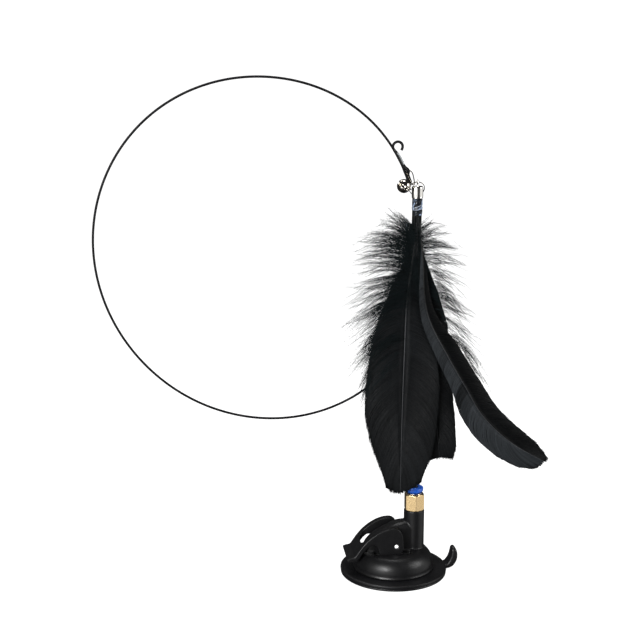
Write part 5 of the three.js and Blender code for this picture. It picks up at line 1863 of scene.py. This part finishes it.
class TOY_OT_studio(bpy.types.Operator):
    """Make the pale floor, the soft lights and the camera"""

    bl_idname = "toy.studio"
    bl_label = "Studio"

    def execute(self, context):
        paper = white_floor(context.scene.toy_colours.paper)
        turn = np.linspace(0, math.pi / 2, 16)
        reach, bend, height = 2.4, 0.9, 2.6
        floor = np.stack([np.linspace(0.001, reach, 12), np.zeros(12)], axis=1)
        wall = np.stack([reach + bend * np.sin(turn), bend * (1 - np.cos(turn))], axis=1)[1:]
        rows = turned(np.vstack([floor, wall, [[reach + bend, height]]]), 96)
        index = np.arange(rows.shape[0] * rows.shape[1]).reshape(rows.shape[:2])
        faces = quads(index[:-1], index[1:])[:, ::-1].tolist() + [index[0].tolist()]
        bowl = mesh_object("studio_paper", rows, faces)
        bowl.data.materials.append(paper)
        bowl.visible_glossy = False
        self.world(context)
        self.lights()
        self.camera(context)
        return {"FINISHED"}

    def world(self, context):
        """Dark surroundings with two bright walls, which only reflections see past the paper."""
        world = bpy.data.worlds.new("studio")
        world.use_nodes = True
        tree = world.node_tree
        toward = tree.nodes.new("ShaderNodeTexCoord").outputs["Generated"]
        total = None
        for turn, half, strength in WALLS:
            lobe = tree.nodes.new("ShaderNodeVectorMath")
            lobe.operation = "DOT_PRODUCT"
            direction = (math.cos(turn * DEGREE), math.sin(turn * DEGREE), -0.1)
            lobe.inputs[1].default_value = Vector(direction).normalized()
            tree.links.new(toward, lobe.inputs[0])
            edge = tree.nodes.new("ShaderNodeMapRange")
            edge.interpolation_type = "SMOOTHSTEP"
            edge.inputs["From Min"].default_value = math.cos((half + WALL_EDGE) * DEGREE)
            edge.inputs["From Max"].default_value = math.cos((half - WALL_EDGE) * DEGREE)
            edge.inputs["To Max"].default_value = strength
            tree.links.new(lobe.outputs["Value"], edge.inputs["Value"])
            total = self.sum_of(tree, edge.outputs["Result"], total) if total else edge.outputs["Result"]
        total = self.sum_of(tree, total)
        background = tree.nodes["Background"]
        background.inputs["Color"].default_value = (1, 1, 1, 1)
        tree.links.new(total, background.inputs["Strength"])
        context.scene.world = world
        context.scene.view_settings.view_transform = "Standard"

    def sum_of(self, tree, value, other=None, dim=0.05):
        """A node that adds the other value, or a dim light where there is none."""
        found = tree.nodes.new("ShaderNodeMath")
        found.operation = "ADD"
        found.inputs[1].default_value = dim
        tree.links.new(value, found.inputs[0])
        if other:
            tree.links.new(other, found.inputs[1])
        return found.outputs["Value"]

    def lights(self):
        """Softboxes at the front, low on the left and higher on the right, and weak ones above and behind."""
        aim = Vector((0, 0, 0.1))
        for name, where, size, power in SOFTBOXES:
            lamp = bpy.data.lights.new(name, "AREA")
            lamp.size = size
            lamp.energy = power
            found = linked(name, lamp)
            found.location = where
            found.rotation_euler = (aim - Vector(where)).to_track_quat("-Z", "Y").to_euler()

    def camera(self, context):
        """The photograph's view: 6 degrees round from straight ahead, and 11.8 degrees down."""
        turn, tilt, distance = 6 * DEGREE, 11.778 * DEGREE, 0.7391
        aside, height = -45.092 * MM, 157.905 * MM
        level = Vector((math.sin(turn), math.cos(turn), 0))
        right = Vector((math.cos(turn), -math.sin(turn), 0))
        looking = level * math.cos(tilt) - Vector((0, 0, math.sin(tilt)))
        lens = bpy.data.cameras.new("camera")
        lens.lens = 70.3125
        lens.sensor_width = 36
        found = linked("camera", lens)
        found.location = right * aside + Vector((0, 0, height)) - looking * distance
        found.rotation_euler = looking.to_track_quat("-Z", "Y").to_euler()
        context.scene.camera = found


# Panel and registration


OPERATORS = [
    TOY_OT_suction_cup,
    TOY_OT_housing,
    TOY_OT_lever,
    TOY_OT_pin_and_core,
    TOY_OT_fitting,
    TOY_OT_wire,
    TOY_OT_sleeves,
    TOY_OT_clasp,
    TOY_OT_split_ring,
    TOY_OT_bell,
    TOY_OT_cap_and_binding,
    TOY_OT_feathers,
    TOY_OT_down,
    TOY_OT_studio,
]


class TOY_PT_panel(bpy.types.Panel):
    """Lists the toy's pieces and settings"""

    bl_idname = "TOY_PT_panel"
    bl_label = "Cat toy"
    bl_space_type = "VIEW_3D"
    bl_region_type = "UI"
    bl_category = "Cat toy"

    def draw(self, context):
        for operator in OPERATORS:
            self.layout.operator(operator.bl_idname)
        for group in (context.scene.toy_sizes, context.scene.toy_feathers, context.scene.toy_colours):
            for name in group.bl_rna.properties.keys():
                if name not in ("rna_type", "name"):
                    self.layout.prop(group, name)


GROUPS = {"toy_colours": ToyColours, "toy_sizes": ToySizes, "toy_feathers": ToyFeathers}


def register():
    """Registers the settings, the operators and the panel."""
    for kind in (*GROUPS.values(), *OPERATORS, TOY_PT_panel):
        bpy.utils.register_class(kind)
    for name, group in GROUPS.items():
        setattr(bpy.types.Scene, name, PointerProperty(type=group))


def unregister():
    """Takes back what register did."""
    for name in GROUPS:
        delattr(bpy.types.Scene, name)
    for kind in (TOY_PT_panel, *OPERATORS[::-1], *GROUPS.values()):
        bpy.utils.unregister_class(kind)


def main():
    """Registers the classes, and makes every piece."""
    register()
    for operator in OPERATORS:
        group, action = operator.bl_idname.split(".")
        getattr(getattr(bpy.ops, group), action)()


if __name__ == "__main__":
    main()
